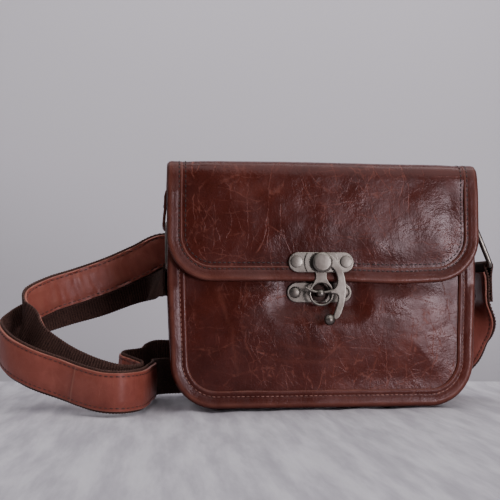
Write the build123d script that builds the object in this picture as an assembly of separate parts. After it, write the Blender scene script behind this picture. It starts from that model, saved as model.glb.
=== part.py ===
from build123d import *
import math
import os

# A small leather camera bag: a bound box body with padding, lining and a divider, a wrap-over flap
# with a swing clasp, a square ring at each side, and a webbing shoulder strap faced with leather.
# Millimetres. X runs to the right seen from the front, Y to the back and Z up. The origin is on the
# surface that the bag stands on, in the middle of its footprint.

# Body
BODY_WIDTH = 195.0
BODY_DEPTH = 70.0
BODY_TOP = 146.0
CORNER_RADIUS = 29.0
PANEL = 2.0
GUSSET = 1.8
FLANGE_HEIGHT = 3.0
BINDING = 1.3
BINDING_FACE = 11.0
BINDING_BACK = 3.6
PAD = 4.0
LINING = 0.8

# Flap
FLAP_WIDTH = 196.0
FLAP_BOTTOM = 78.0
FLAP_UNDERSIDE = 148.6
FLAP_LEATHER = 1.8
FLAP_LINING = 1.0
FLAP_SHOULDER = 3.2
FLAP_CORNER_RADIUS = 28.0
FLAP_BINDING_FACE = 9.5
FLAP_BINDING_BACK = 5.5
FLAP_BINDING_TUCK = 0.8
FLAP_GAP = 1.2
HINGE_Y = BODY_DEPTH / 2

# Divider
DIVIDER_X = 20.0
DIVIDER = 6.0
DIVIDER_TOP = 118.0
SOFT_GAP = 0.4

# Clasp
CLASP_X = -3.4
PIVOT_Z = 89.6
POST_Z = 71.2
PLATE_LENGTH = 40.6
PLATE_HEIGHT = 12.4
PLATE = 1.5
RIVET_SPACING = 31.0
RIVET_HEAD_RADIUS = 3.5
RIVET_SHANK_RADIUS = 1.4
HUB_RADIUS = 10.8
EYE_OUTER_RADIUS = 7.7
EYE_INNER_RADIUS = 5.9
NECK_WIDTH = 7.2
POST_RADIUS = 2.6
HOOK = 1.8
PIN_RADIUS = 1.8
PIN_CLEARANCE = 0.08
PLAY = 0.4

# Rings and the tabs that hold them
WIRE_RADIUS = 1.75
RING_WIDTH = 31.0
RING_HEIGHT = 28.0
RING_CORNER = 2.6
RING_PIVOT_Z = 115.0
TAB_WIDTH = 22.0
TAB_LEATHER = 1.8
TAB_TOP = 139.0
LEFT_RING_OUT = 3.8
RIGHT_RING_OUT = 12.0
RIGHT_RING_ANGLE = 22.0

# Strap
WEBBING_WIDTH = 25.0
WEBBING = 1.5
FACING_WIDTH = 22.0
FACING = 1.4

FRONT = -BODY_DEPTH / 2
BACK = BODY_DEPTH / 2
SIDE = BODY_WIDTH / 2 - FLANGE_HEIGHT - BINDING

parts = {}


def outline(inset, top):
    """The body's front outline as a face in the XZ plane: square at the top, round at the bottom."""
    half = BODY_WIDTH / 2 - inset
    radius = CORNER_RADIUS - inset
    slant = radius * (1 - math.sqrt(0.5))
    edges = [
        Line((-half, top), (-half, inset + radius)),
        ThreePointArc((-half, inset + radius), (-half + slant, inset + slant), (-half + radius, inset)),
        Line((-half + radius, inset), (half - radius, inset)),
        ThreePointArc((half - radius, inset), (half - slant, inset + slant), (half, inset + radius)),
        Line((half, inset + radius), (half, top)),
        Line((half, top), (-half, top)),
    ]
    return Plane.XZ * make_face(edges)


def plate(inset, top, near, far):
    """The body outline as a plate between two values of Y."""
    return Pos(0, near, 0) * extrude(outline(inset, top), amount=far - near, dir=(0, 1, 0))


def trough(outside, inside, top, near, far):
    """A U-shaped wall that follows the body outline between two insets."""
    return plate(outside, top, near, far) - plate(inside, top + 1, near - 1, far + 1)


def box(low, high):
    """A box between two corners."""
    size = [b - a for a, b in zip(low, high)]
    return Pos(*low) * Box(*size, align=(Align.MIN, Align.MIN, Align.MIN))


def rod(radius, centre_x, centre_z, near, far):
    """A round bar along Y."""
    turned = Pos(centre_x, near, centre_z) * Rot(-90, 0, 0)
    return turned * Cylinder(radius, far - near, align=(Align.CENTER, Align.CENTER, Align.MIN))


# ---------------------------------------------------------------- body

parts["front_panel"] = plate(BINDING, BODY_TOP, FRONT, FRONT + PANEL)
parts["back_panel"] = plate(BINDING, BODY_TOP, BACK - PANEL, BACK)

wall_inset = BINDING + FLANGE_HEIGHT
inner_front = FRONT + PANEL
inner_back = BACK - PANEL
wall = trough(wall_inset, wall_inset + GUSSET, BODY_TOP, inner_front, inner_back)
front_flange = trough(BINDING, wall_inset + GUSSET, BODY_TOP, inner_front, inner_front + GUSSET)
back_flange = trough(BINDING, wall_inset + GUSSET, BODY_TOP, inner_back - GUSSET, inner_back)
parts["gusset"] = wall + front_flange + back_flange


def binding(outer, direction):
    """A strip folded round a bound edge: outer is its outside face, direction points into the bag."""
    panel_face = outer + direction * BINDING
    flange_back = panel_face + direction * (PANEL + GUSSET)
    inner = flange_back + direction * BINDING

    def between(outside, inside, a, b):
        return trough(outside, inside, BODY_TOP, min(a, b), max(a, b))

    face_leaf = between(0, BINDING_FACE, outer, panel_face)
    edge = between(0, BINDING, panel_face, flange_back)
    back_leaf = between(0, BINDING_BACK, flange_back, inner)
    return face_leaf + edge + back_leaf


parts["front_binding"] = binding(FRONT - BINDING, 1)
parts["back_binding"] = binding(BACK + BINDING, -1)

pad_inset = wall_inset + GUSSET
pad_top = BODY_TOP - 3
parts["front_pad"] = plate(pad_inset, pad_top, inner_front, inner_front + PAD)
parts["back_pad"] = plate(pad_inset, pad_top, inner_back - PAD, inner_back)
pad_near = inner_front + PAD
pad_far = inner_back - PAD
parts["side_pad"] = trough(pad_inset, pad_inset + PAD, pad_top, pad_near, pad_far)
lining_inset = pad_inset + PAD
parts["front_lining"] = plate(lining_inset, pad_top, pad_near, pad_near + LINING)
parts["back_lining"] = plate(lining_inset, pad_top, pad_far - LINING, pad_far)
lining_near = pad_near + LINING
lining_far = pad_far - LINING
parts["side_lining"] = trough(lining_inset, lining_inset + LINING, pad_top, lining_near, lining_far)

floor = lining_inset + LINING
divider_low = (DIVIDER_X - DIVIDER / 2, lining_near + SOFT_GAP, floor + SOFT_GAP)
divider_high = (DIVIDER_X + DIVIDER / 2, lining_far - SOFT_GAP, DIVIDER_TOP)
divider = box(divider_low, divider_high)
parts["divider"] = fillet(divider.edges().filter_by(Axis.Y), DIVIDER / 2 - 0.5)

# ---------------------------------------------------------------- flap

flap_inside_y = FRONT - BINDING - FLAP_GAP
flap_thickness = FLAP_LEATHER + FLAP_LINING


def flap_block(outward, half_width, bottom):
    """Everything under the flap, out to a distance outward from its inside face."""
    low = (-half_width, flap_inside_y - outward, bottom)
    high = (half_width, HINGE_Y, FLAP_UNDERSIDE + outward)
    block = box(low, high)
    shoulder = block.edges().filter_by(Axis.X).sort_by(Axis.Y)[:2].sort_by(Axis.Z)[-1]
    return fillet(shoulder, FLAP_SHOULDER + outward)


def flap_layer(inner, outer, inset):
    """One layer of the flap between two distances from its inside face, drawn in from its edges."""
    half = FLAP_WIDTH / 2 - inset
    bottom = FLAP_BOTTOM + inset
    shell = flap_block(outer, half, bottom) - flap_block(inner, half + 1, bottom - 1)
    radius = FLAP_CORNER_RADIUS - inset
    front_view = RectangleRounded(2 * half, 200, radius)
    cutter = extrude(Plane.XZ * Pos(0, bottom + 100) * front_view, amount=100, both=True)
    drop = shell & cutter
    top = shell & box((-half, flap_inside_y - outer - 1, bottom + 40), (half, HINGE_Y, 200))
    return drop + top


flap_outer = flap_thickness + BINDING
parts["flap_lining"] = flap_layer(0, FLAP_LINING, BINDING)
parts["flap_leather"] = flap_layer(FLAP_LINING, flap_thickness, BINDING)
flap_edge = flap_layer(-FLAP_BINDING_TUCK, flap_outer, 0)
flap_edge -= flap_layer(flap_thickness, flap_outer + 1, FLAP_BINDING_FACE)
flap_edge -= flap_layer(-FLAP_BINDING_TUCK - 1, 0, FLAP_BINDING_BACK)
parts["flap_binding"] = flap_edge - flap_layer(0, flap_thickness, BINDING)

# ---------------------------------------------------------------- swing clasp


def rounded_plate(centre_z, outer, inner):
    """A clasp plate with round ends between two values of Y."""
    shape = SlotOverall(PLATE_LENGTH, PLATE_HEIGHT)
    return extrude(Plane.XZ * Pos(CLASP_X, centre_z) * shape, amount=outer - inner, dir=(0, -1, 0))


def at_depth(solid, depth):
    """Moves a solid that was drawn on the XZ plane to a value of Y."""
    return Pos(0, depth, 0) * solid


def rivet(x, z, face, back, dome):
    """A rivet along Y with a low head outside face, a washer behind back and its shank between."""
    head = rod(RIVET_HEAD_RADIUS, x, z, face - dome, face)
    head = fillet(head.edges().sort_by(Axis.Y)[0], dome * 0.8)
    shank = rod(RIVET_SHANK_RADIUS, x, z, face, back)
    washer = rod(RIVET_HEAD_RADIUS, x, z, back, back + 0.6)
    return head + shank + washer


rivet_xs = [CLASP_X - RIVET_SPACING / 2, CLASP_X + RIVET_SPACING / 2]

catch_face = FRONT - PLATE
catch_plate = at_depth(rounded_plate(POST_Z, PLATE, 0), FRONT)
catch_rivets = [rivet(x, POST_Z, catch_face, FRONT + PANEL, 1.2) for x in rivet_xs]
for shaft in catch_rivets:
    catch_plate -= shaft
    parts["front_panel"] -= shaft
    parts["front_pad"] -= shaft

hasp_back = flap_inside_y - flap_outer
hasp_face = hasp_back - PLATE
hasp = at_depth(rounded_plate(PIVOT_Z, PLATE, 0), hasp_back)
hub = rod(HUB_RADIUS, CLASP_X, PIVOT_Z, hasp_face - 0.7, hasp_back)
strip_half = PLATE_HEIGHT / 2
strip = box((CLASP_X - 20, hasp_face - 2, PIVOT_Z - strip_half), (CLASP_X + 20, 0, PIVOT_Z + strip_half))
hub = hub & strip
neck_top = PIVOT_Z - strip_half + 0.5
neck_low = POST_Z + EYE_INNER_RADIUS + 0.4
neck = box(
    (CLASP_X - NECK_WIDTH / 2, hasp_face, neck_low), (CLASP_X + NECK_WIDTH / 2, hasp_back, neck_top)
)
eye = rod(EYE_OUTER_RADIUS, CLASP_X, POST_Z, hasp_face, hasp_back)
eye -= rod(EYE_INNER_RADIUS, CLASP_X, POST_Z, hasp_face - 1, hasp_back + 1)
hasp = hasp + hub + neck + eye

hub_face = hasp_face - 0.7
hook_back = hub_face - PLAY
hook_face = hook_back - HOOK
button_back = hook_face - PLAY
button_face = button_back - 1.6
pin = rod(PIN_RADIUS, CLASP_X, PIVOT_Z, button_back, flap_inside_y + 0.8)
button = rod(6.2, CLASP_X, PIVOT_Z, button_face, button_back)
button = fillet(button.edges().sort_by(Axis.Y)[0], 1.2)
parts["pivot_pin"] = pin + button

hasp_rivets = [rivet(x, PIVOT_Z, hasp_face, flap_inside_y, 0.8) for x in rivet_xs]
for shaft in hasp_rivets + [pin]:
    hasp -= shaft
    parts["flap_leather"] -= shaft
    parts["flap_lining"] -= shaft
parts["hasp_plate"] = hasp
parts["catch_plate"] = catch_plate
parts["catch_rivets"] = Compound(children=catch_rivets)
parts["hasp_rivets"] = Compound(children=hasp_rivets)

swing_radius = PIVOT_Z - POST_Z
spur_half = 0.95
post_tip = hook_face - 1.6
post = rod(POST_RADIUS, CLASP_X, POST_Z, post_tip, catch_face)
post += Pos(CLASP_X, post_tip, POST_Z) * Sphere(POST_RADIUS + 0.5)
post_shank = rod(RIVET_SHANK_RADIUS, CLASP_X, POST_Z, catch_face, FRONT + PANEL)
post_washer = rod(RIVET_HEAD_RADIUS, CLASP_X, POST_Z, FRONT + PANEL, FRONT + PANEL + 0.6)
post = post + post_shank + post_washer
slot = rod(swing_radius + spur_half + PLAY, CLASP_X, PIVOT_Z, hook_face - PLAY, hook_back + PLAY)
slot -= rod(swing_radius - spur_half - PLAY, CLASP_X, PIVOT_Z, hook_face - 1, hook_back + 1)
post -= slot & box((CLASP_X - 6, -100, POST_Z - 6), (CLASP_X + 6, 100, POST_Z + 6))
parts["catch_post"] = post
for name in ["catch_plate", "front_panel", "front_pad"]:
    parts[name] -= post_shank + post_washer


def polar(radius, degrees):
    """A point on the hook, from the pivot, with 0 degrees to the right and 90 up."""
    angle = math.radians(degrees)
    return (CLASP_X + radius * math.cos(angle), PIVOT_Z + radius * math.sin(angle))


def hook_point(x, z):
    """A point on the hook, given from the pivot."""
    return (CLASP_X + x, PIVOT_Z + z)


crescent = make_face(
    [
        ThreePointArc(hook_point(1.0, 5.0), hook_point(15.3, -14.0), hook_point(8.6, -35.0)),
        Line(hook_point(8.6, -35.0), hook_point(6.6, -31.6)),
        ThreePointArc(hook_point(6.6, -31.6), hook_point(10.3, -16.0), hook_point(0.0, -4.6)),
        Line(hook_point(0.0, -4.6), hook_point(1.0, 5.0)),
    ]
)
spur_outer = swing_radius + spur_half
spur_inner = swing_radius - spur_half
spur = make_face(
    [
        ThreePointArc(polar(spur_outer, 306), polar(spur_outer, 270), polar(spur_outer, 236)),
        Line(polar(spur_outer, 236), polar(spur_inner, 238)),
        ThreePointArc(polar(spur_inner, 238), polar(spur_inner, 272), polar(spur_inner, 306)),
        Line(polar(spur_inner, 306), polar(spur_outer, 306)),
    ]
)
hook = rod(5.4, CLASP_X, PIVOT_Z, hook_face, hook_back)
for flat in [crescent, spur]:
    hook += at_depth(extrude(Plane.XZ * flat, amount=HOOK, dir=(0, -1, 0)), hook_back)
hook -= rod(PIN_RADIUS + PIN_CLEARANCE, CLASP_X, PIVOT_Z, hook_face - 1, hook_back + 1)
ball_x, ball_z = hook_point(6.4, -34.4)
hook += Pos(ball_x, (hook_face + hook_back) / 2, ball_z) * Rot(90, 0, 130) * Sphere(3.1)
parts["swing_hook"] = hook

# ---------------------------------------------------------------- rings and tabs


def ring(side, bar_x, angle):
    """A square wire ring that hangs from its top bar and leans outward by an angle."""
    half = RING_WIDTH / 2
    corners = [(-half, 0), (-half, -RING_HEIGHT), (half, -RING_HEIGHT), (half, 0)]
    loop = Polyline(*corners, close=True)
    loop = fillet(loop.vertices(), RING_CORNER)
    wire = sweep(Plane(loop @ 0, z_dir=loop % 0) * Circle(WIRE_RADIUS), path=loop)
    upright = Rot(0, 0, 90) * Rot(90, 0, 0) * wire
    return Pos(side * bar_x, 0, RING_PIVOT_Z) * Rot(0, -side * angle, 0) * upright


def tab(side, bar_x):
    """A leather strip sewn flat on the gusset, folded round the ring's top bar."""
    clear = WIRE_RADIUS + 0.1
    out = clear + TAB_LEATHER
    low = RING_PIVOT_Z
    leaf = 2 * TAB_LEATHER
    sewn_low = low + 9
    eye_centre = (bar_x, low)
    sewn = Polyline(
        (SIDE, TAB_TOP), (SIDE, sewn_low), (SIDE + leaf, sewn_low), (SIDE + leaf, TAB_TOP), close=True
    )
    lead = Polyline(
        (SIDE, sewn_low + 3),
        (bar_x - out, low),
        (bar_x + out, low),
        (SIDE + leaf, sewn_low + 3),
        close=True,
    )
    section = make_face(sewn) + make_face(lead) + Pos(*eye_centre) * Circle(out)
    section -= Pos(*eye_centre) * Circle(clear)
    solid = extrude(Plane.XZ * section, amount=TAB_WIDTH / 2, both=True)
    if side < 0:
        solid = mirror(solid, about=Plane.YZ)
    return solid


left_bar = SIDE + LEFT_RING_OUT
right_bar = SIDE + RIGHT_RING_OUT
parts["left_ring"] = ring(-1, left_bar, 0)
parts["right_ring"] = ring(1, right_bar, RIGHT_RING_ANGLE)
parts["left_tab"] = tab(-1, left_bar)
parts["right_tab"] = tab(1, right_bar)

# ---------------------------------------------------------------- strap

# The strap runs from the right ring down and behind the bag, out to the left in an inner loop, back
# in a bunch of folds beside the bag, out again in an outer loop and forward to the left ring. Each
# station is the middle of the strap and a vector across it. The webbing lies on the outside of the
# inner loop and the inside of the outer loop, and the leather facing on its other side.
STRAP = [
    ((117.1, 0, 61.2), (0, 1, 0)),
    ((116.8, 3, 51), (-0.5, 0.9, 0)),
    ((112.6, 9, 39.5), (-0.9, 0.4, 0.1)),
    ((108.4, 20, 28.5), (-0.8, 0.3, 0.5)),
    ((103.0, 35, 21), (-0.2, 0.3, 0.9)),
    ((86.0, 47, 18), (0, 0, 1)),
    ((58.0, 51, 25), (0, 0, 1)),
    ((20.0, 52, 40), (0, 0, 1)),
    ((-20.0, 53, 59), (0, 0, 1)),
    ((-62.0, 54, 80), (0, 0, 1)),
    ((-84.0, 55, 95), (0, 0, 1)),
    ((-99.0, 54, 101.5), (0, 0, 1)),
    ((-117.0, 50, 93), (0, 0, 1)),
    ((-136.0, 44, 84), (0, 0, 1)),
    ((-157.0, 37, 76), (0, 0, 1)),
    ((-174.0, 28, 70), (0, 0, 1)),
    ((-186.0, 16, 63), (0, 0, 1)),
    ((-188.0, 4, 56), (0, 0, 1)),
    ((-182.0, -4, 47), (0, 0, 1)),
    ((-175.0, -12, 37), (0, 0, 1)),
    ((-164.0, -18, 29), (0, 0, 1)),
    ((-150.0, -24, 22), (0, 0, 1)),
    ((-136.0, -28, 17), (0, 0, 1)),
    ((-124.0, -28, 14.5), (0, 0, 1)),
    ((-115.0, -21, 14.5), (0, 0, 1)),
    ((-114.0, -10, 15.5), (0, 0, 1)),
    ((-120.0, 1, 17), (0, 0, 1)),
    ((-127.0, 12, 19), (0, 0, 1)),
    ((-125.0, 24, 20), (0, 0, 1)),
    ((-115.0, 30, 21), (0, 0, 1)),
    ((-112.0, 41, 23), (0, 0, 1)),
    ((-105.0, 52, 25), (0, 0, 1)),
    ((-93.0, 57, 24), (0, 0, 1)),
    ((-82.0, 57, 19), (0, 0, 1)),
    ((-78.5, 50, 15), (0, 0, 1)),
    ((-86.0, 43.5, 13.3), (0, 0, 1)),
    ((-98.0, 41.5, 13), (0, 0, 1)),
    ((-105.5, 33, 13), (0, 0, 1)),
    ((-105.5, 20, 13), (0, 0, 1)),
    ((-106.5, 6, 13), (0, 0, 1)),
    ((-108.5, -9, 13), (0, 0, 1)),
    ((-110.0, -25, 13), (0, 0, 1)),
    ((-114.0, -42, 13), (0, 0, 1)),
    ((-124.0, -52.5, 13), (0, 0, 1)),
    ((-136.0, -50, 13.5), (0, 0, 1)),
    ((-148.5, -42, 16), (0, 0, 1)),
    ((-161.0, -33, 19.5), (0, 0, 1)),
    ((-180.0, -25, 25.5), (0, 0, 1)),
    ((-195.5, -12, 32.5), (0, 0, 1)),
    ((-204.0, 7, 40), (0, 0, 1)),
    ((-200.0, 22, 46), (0, 0, 1)),
    ((-188.0, 35, 53.5), (0, 0, 1)),
    ((-168.0, 46, 60.5), (0, 0, 1)),
    ((-148.0, 53, 66), (0, 0, 1)),
    ((-126.0, 59, 73), (0, 0, 1)),
    ((-111.0, 61, 76), (0.3, 0, 1)),
    ((-103.5, 54, 76.5), (0.7, 0, 1)),
    ((-101.6, 41, 75), (0.25, -0.2, 1)),
    ((-101.0, 26, 72), (0, -0.25, 1)),
]
WEBBING_SPANS = {
    "right_run": (0, 5),
    "back_run": (5, 10),
    "inner_far": (10, 17),
    "inner_near": (17, 23),
    "folds": (23, 32),
    "back_fold": (32, 38),
    "outer_near": (38, 49),
    "outer_far": (49, 58),
}
FACING_SPANS = {
    "right_run": (0, 5),
    "back_run": (5, 10),
    "inner_far": (10, 17),
    "inner_near": (17, 23),
    "folds": (23, 32),
    "outer_near": (38, 49),
    "outer_far": (49, 57),
}
STEPS = 2


def strap_at(at):
    """The strap's middle and cross vector at a place along its stations, on a Catmull-Rom curve."""
    last = len(STRAP) - 1
    i = min(int(at), last - 1)
    t = at - i
    picked = [STRAP[min(max(i + k, 0), last)] for k in (-1, 0, 1, 2)]
    weights = (
        (-t + 2 * t * t - t**3) / 2,
        (2 - 5 * t * t + 3 * t**3) / 2,
        (t + 4 * t * t - 3 * t**3) / 2,
        (t**3 - t * t) / 2,
    )
    middle = Vector(0, 0, 0)
    across = Vector(0, 0, 0)
    for weight, (place, cross) in zip(weights, picked):
        middle += Vector(*place) * weight
        across += Vector(*cross) * weight
    return middle, across


def section_frame(at):
    """The strap's middle, its unit cross vector and the unit normal of its face."""
    middle, across = strap_at(at)
    ahead = strap_at(min(at + 0.05, len(STRAP) - 1))[0]
    behind = strap_at(max(at - 0.05, 0))[0]
    along = (ahead - behind).normalized()
    across = (across - along * across.dot(along)).normalized()
    return middle, across, along.cross(across)


def strip_between(first, last, corners):
    """A closed strip from one station to another, with its section given as (across, out) corners."""
    rings = []
    for k in range(first * STEPS, last * STEPS + 1):
        middle, across, normal = section_frame(k / STEPS)
        rings.append([middle + across * a + normal * n for a, n in corners])
    faces = []
    count = len(corners)
    for one, two in zip(rings, rings[1:]):
        for a in range(count):
            b = (a + 1) % count
            if corners[a][0] > corners[b][0]:
                corners_of_faces = [one[a], one[b], two[a]], [one[b], two[b], two[a]]
            else:
                corners_of_faces = [one[a], one[b], two[b]], [one[a], two[b], two[a]]
            faces += [Face(Wire.make_polygon(face)) for face in corners_of_faces]
    faces.append(Face(Wire.make_polygon(rings[0][::-1])))
    faces.append(Face(Wire.make_polygon(rings[-1])))
    return Solid(Shell(faces))


half_web = WEBBING_WIDTH / 2
half_face = FACING_WIDTH / 2
web_corners = [
    (-half_web, 0),
    (-half_face, 0),
    (half_face, 0),
    (half_web, 0),
    (half_web, WEBBING),
    (-half_web, WEBBING),
]
face_corners = [(-half_face, 0), (half_face, 0), (half_face, -FACING), (-half_face, -FACING)]
for name, (first, last) in WEBBING_SPANS.items():
    parts["webbing_" + name] = strip_between(first, last, web_corners)
for name, (first, last) in FACING_SPANS.items():
    parts["facing_" + name] = strip_between(first, last, face_corners)


def ring_low_bar(side, bar_x, angle):
    """The middle of a ring's lower bar, in X and Z."""
    lean = math.radians(angle)
    return side * (bar_x + RING_HEIGHT * math.sin(lean)), RING_PIVOT_Z - RING_HEIGHT * math.cos(lean)


def bar_loop(x, z):
    """Webbing round a ring's lower bar."""
    clear = WIRE_RADIUS + 0.1
    loop = rod(clear + WEBBING, x, z, -half_web, half_web)
    return loop, rod(clear, x, z, -half_web - 1, half_web + 1)


right_x, right_z = ring_low_bar(1, right_bar, RIGHT_RING_ANGLE)
right_loop, right_hole = bar_loop(right_x, right_z)
stem_top = (right_x + 0.6, right_z - 2.2)
stem_end = (117.0, 64.6)
stem_lean = math.degrees(math.atan2(stem_end[0] - stem_top[0], stem_top[1] - stem_end[1]))
stem_length = math.dist(stem_top, stem_end)
stem_place = Pos(stem_top[0], 0, stem_top[1]) * Rot(0, -stem_lean, 0)
stem = stem_place * Pos(0, 0, -stem_length / 2) * Box(2 * WEBBING, WEBBING_WIDTH, stem_length)
parts["right_strap_end"] = right_loop + stem - right_hole
facing_stem = Box(FACING, FACING_WIDTH, stem_length - 4)
facing_x = -WEBBING - FACING / 2
facing_z = -stem_length / 2 - 2
parts["right_end_facing"] = stem_place * Pos(facing_x, 0, facing_z) * facing_stem - right_loop

left_x, left_z = ring_low_bar(-1, left_bar, 0)
left_loop, left_hole = bar_loop(left_x, left_z)
parts["left_strap_end"] = left_loop - left_hole

# Below the left ring the webbing hangs against the gusset and folds over itself towards the back.
fold_front = (-half_web, 77.5)
fold_back = (half_web, 59.0)
hang_top = 82.0
hanging = Plane.YZ * make_face(
    Polyline(fold_front, (fold_front[0], hang_top), (fold_back[0], hang_top), fold_back, close=True)
)
end_middle, end_across, end_normal = section_frame(len(STRAP) - 1)
end_top = end_middle + end_across * half_web
end_bottom = end_middle - end_across * half_web
turned = Plane.YZ * make_face(
    Polyline(fold_front, (end_top.Y, end_top.Z), (end_bottom.Y, end_bottom.Z), fold_back, close=True)
)
outer_face = end_middle.X - WEBBING
inner_face = end_middle.X
hung = Pos(inner_face, 0, 0) * extrude(hanging, amount=2 * WEBBING)
folded = Pos(outer_face, 0, 0) * extrude(turned, amount=WEBBING)
parts["webbing_left_fold"] = hung + folded - parts["webbing_outer_far"]

for name, shape in parts.items():
    shape.label = name

os.makedirs("parts", exist_ok=True)
for name, shape in parts.items():
    export_step(shape, "parts/" + name + ".step")
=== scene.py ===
import math

import bmesh
import bpy
from mathutils import Matrix, Vector, noise


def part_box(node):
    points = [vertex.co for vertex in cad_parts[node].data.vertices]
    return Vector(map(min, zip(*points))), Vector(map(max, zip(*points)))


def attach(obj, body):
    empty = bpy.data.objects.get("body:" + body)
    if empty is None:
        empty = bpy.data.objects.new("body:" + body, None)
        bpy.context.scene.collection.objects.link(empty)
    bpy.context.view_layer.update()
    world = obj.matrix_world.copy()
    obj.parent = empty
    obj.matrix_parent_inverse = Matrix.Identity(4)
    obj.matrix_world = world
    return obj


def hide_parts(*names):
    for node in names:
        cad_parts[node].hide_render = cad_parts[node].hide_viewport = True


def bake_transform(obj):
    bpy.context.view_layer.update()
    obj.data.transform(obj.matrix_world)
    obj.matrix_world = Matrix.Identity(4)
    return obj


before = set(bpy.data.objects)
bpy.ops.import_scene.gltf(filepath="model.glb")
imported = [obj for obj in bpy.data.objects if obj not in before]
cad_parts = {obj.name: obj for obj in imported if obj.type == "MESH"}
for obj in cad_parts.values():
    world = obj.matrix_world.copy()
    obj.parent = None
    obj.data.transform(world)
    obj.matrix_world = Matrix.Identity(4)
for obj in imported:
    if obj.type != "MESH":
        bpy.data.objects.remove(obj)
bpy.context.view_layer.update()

# A leather camera bag. Lengths are written in millimetres and turned into metres where a mesh is
# made. X runs to the right seen from the front, Y to the back and Z up.
MM = 0.001

# Body
HALF_WIDTH = 97.5
BODY_TOP = 146.0
FRONT = -35.0
BACK = 35.0
CORNER = 29.0
WALL_INSET = 4.3
WALL = 1.8
PANEL = 1.8
PANEL_STEP = 1.25
PAD_TOP = 143.0
PAD_INSET = 6.1
LINING_INSET = 10.9
PAD_FACE = 28.2

# Flap: the line of its underside runs up the front, over the top and a little way down the back
FLAP_HALF = 98.0
FLAP_CORNER = 28.0
FLAP_LOW = 78.0
FLAP_FRONT = -37.5
FLAP_REAR = 36.6
FLAP_TOP = 148.6
SHOULDER = 3.2
SHOULDER_ARC = SHOULDER * math.pi / 2
DROP = FLAP_TOP - SHOULDER - FLAP_LOW
TOP_RUN = FLAP_REAR - FLAP_FRONT - 2 * SHOULDER
REAR_DROP = 14.0
FLAP_LENGTH = DROP + TOP_RUN + REAR_DROP + 2 * SHOULDER_ARC
FLAP_LINING = 1.0
FLAP_OUTER = 2.8

# Clasp
CLASP_X = -3.4
PIVOT_Z = 89.6
POST_Z = 71.2
PLATE_HALF_LENGTH = 20.3
PLATE_HALF_HEIGHT = 6.2

# Rings and tabs
WIRE = 1.75
LEFT_BAR = (-97.0, 87.0)
RIGHT_BAR = (115.69, 89.04)
LEFT_PIVOT = (-97.0, 115.0)
RIGHT_PIVOT = (105.2, 115.0)
GUSSET_FACE = 93.2
TAB_HALF = 11.0
TAB_LEATHER = 1.8

# Strap
WEBBING_HALF = 12.5
WEBBING = 1.5
RIB_PITCH = 1.9
STITCH_PITCH = 3.0
STRAP_STITCH_PITCH = 3.5
# Places along the strap, in stations: where the right end's leather facing starts, where the loops
# start, where the inner loop's facing ends and the outer one's starts, the outer one's seam, and
# where the loops hand over to the left end
RIGHT_TOP = 7.5
LOOPS_START = 8
INNER_END = 32
OUTER_START = 38
SEAM = 45.3
LEFT_START = 55
# The share of its width that the strap's lower half loses at LEFT_START
TUCK = 0.14
# The left end turns upward at this radius about a centre at this height
LEFT_TURN = 14.0
LEFT_TOP = 86.0


# ---- numbers


def smooth(low, high, value):
    """0 below low, 1 above high and an even curve between them."""
    t = min(max((value - low) / (high - low), 0.0), 1.0)
    return t * t * (3 - 2 * t)


def lumps(place, size, seed):
    """Soft noise from about -1 to 1 with features of a given size."""
    return noise.noise(Vector(place) / size + Vector((seed * 7.3, seed * 3.1, seed * 5.7)))


# ---- meshes


def named(piece, slot, *nodes):
    """Hides the CAD nodes that a piece stands for, if there are any, and gives the piece back. The slot is
    not used.
    """
    if nodes:
        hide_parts(*nodes)
    return piece


def placed(piece, slot, body, *nodes):
    """Hides the CAD nodes that a piece stands for and has it ride on a body."""
    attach(named(piece, slot, *nodes), body)


def add_mesh(name, points, faces, material, wear_and_light=None):
    """A closed smooth mesh from points in millimetres, with each point's wear and painted light."""
    mesh = bpy.data.meshes.new(name)
    mesh.from_pydata([Vector(point) * MM for point in points], [], faces)
    built = bmesh.new()
    built.from_mesh(mesh)
    bmesh.ops.recalc_face_normals(built, faces=built.faces)
    built.to_mesh(mesh)
    built.free()
    mesh.shade_smooth()
    mesh.set_sharp_from_angle(angle=math.radians(55))
    attribute = mesh.attributes.new("wear_and_light", "FLOAT", "POINT")
    if wear_and_light:
        attribute.data.foreach_set("value", wear_and_light)
    mesh.materials.append(material)
    made = bpy.data.objects.new(name, mesh)
    bpy.context.scene.collection.objects.link(made)
    return made


def grid_faces(rows, columns):
    """Faces over a grid of points."""
    faces = []
    for row in range(rows - 1):
        for column in range(columns - 1):
            a = row * columns + column
            faces.append((a, a + 1, a + columns + 1, a + columns))
    return faces


def tube_faces(start, count, total, closed=False):
    """Faces over rings of points, closed on itself or with a face at each end."""
    faces = []
    for row in range(total if closed else total - 1):
        here = start + row * count
        there = start + (row + 1) % total * count
        for k in range(count):
            after = (k + 1) % count
            faces.append((here + k, here + after, there + after, there + k))
    if not closed:
        faces.append(tuple(range(start, start + count)))
        faces.append(tuple(range(start + (total - 1) * count, start + total * count)))
    return faces


def layered(name, rows, faces_at, material, wear_and_light=None):
    """A closed mesh with an outer and an inner face, which faces_at gives for each place in rows."""
    count, columns = len(rows), len(rows[0])
    pairs = [faces_at(*place) for row in rows for place in row]
    points = [outer for outer, _ in pairs] + [inner for _, inner in pairs]
    back = len(pairs)
    faces = grid_faces(count, columns)
    faces += [tuple(back + corner for corner in reversed(face)) for face in faces]
    rim = list(range(columns))
    rim += [row * columns + columns - 1 for row in range(1, count)]
    rim += [(count - 1) * columns + column for column in range(columns - 2, -1, -1)]
    rim += [row * columns for row in range(count - 2, 0, -1)]
    faces += [(a, b, back + b, back + a) for a, b in zip(rim, rim[1:] + rim[:1])]
    values = [value for row in wear_and_light for value in row] + [0.0] * back if wear_and_light else None
    return add_mesh(name, points, faces, material, values)


def swept(name, rings, material, wear_and_light=None):
    """A closed tube through rings of points, with flat ends."""
    points = [point for ring in rings for point in ring]
    values = [value for ring in wear_and_light for value in ring] if wear_and_light else None
    return add_mesh(name, points, tube_faces(0, len(rings[0]), len(rings)), material, values)


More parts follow.
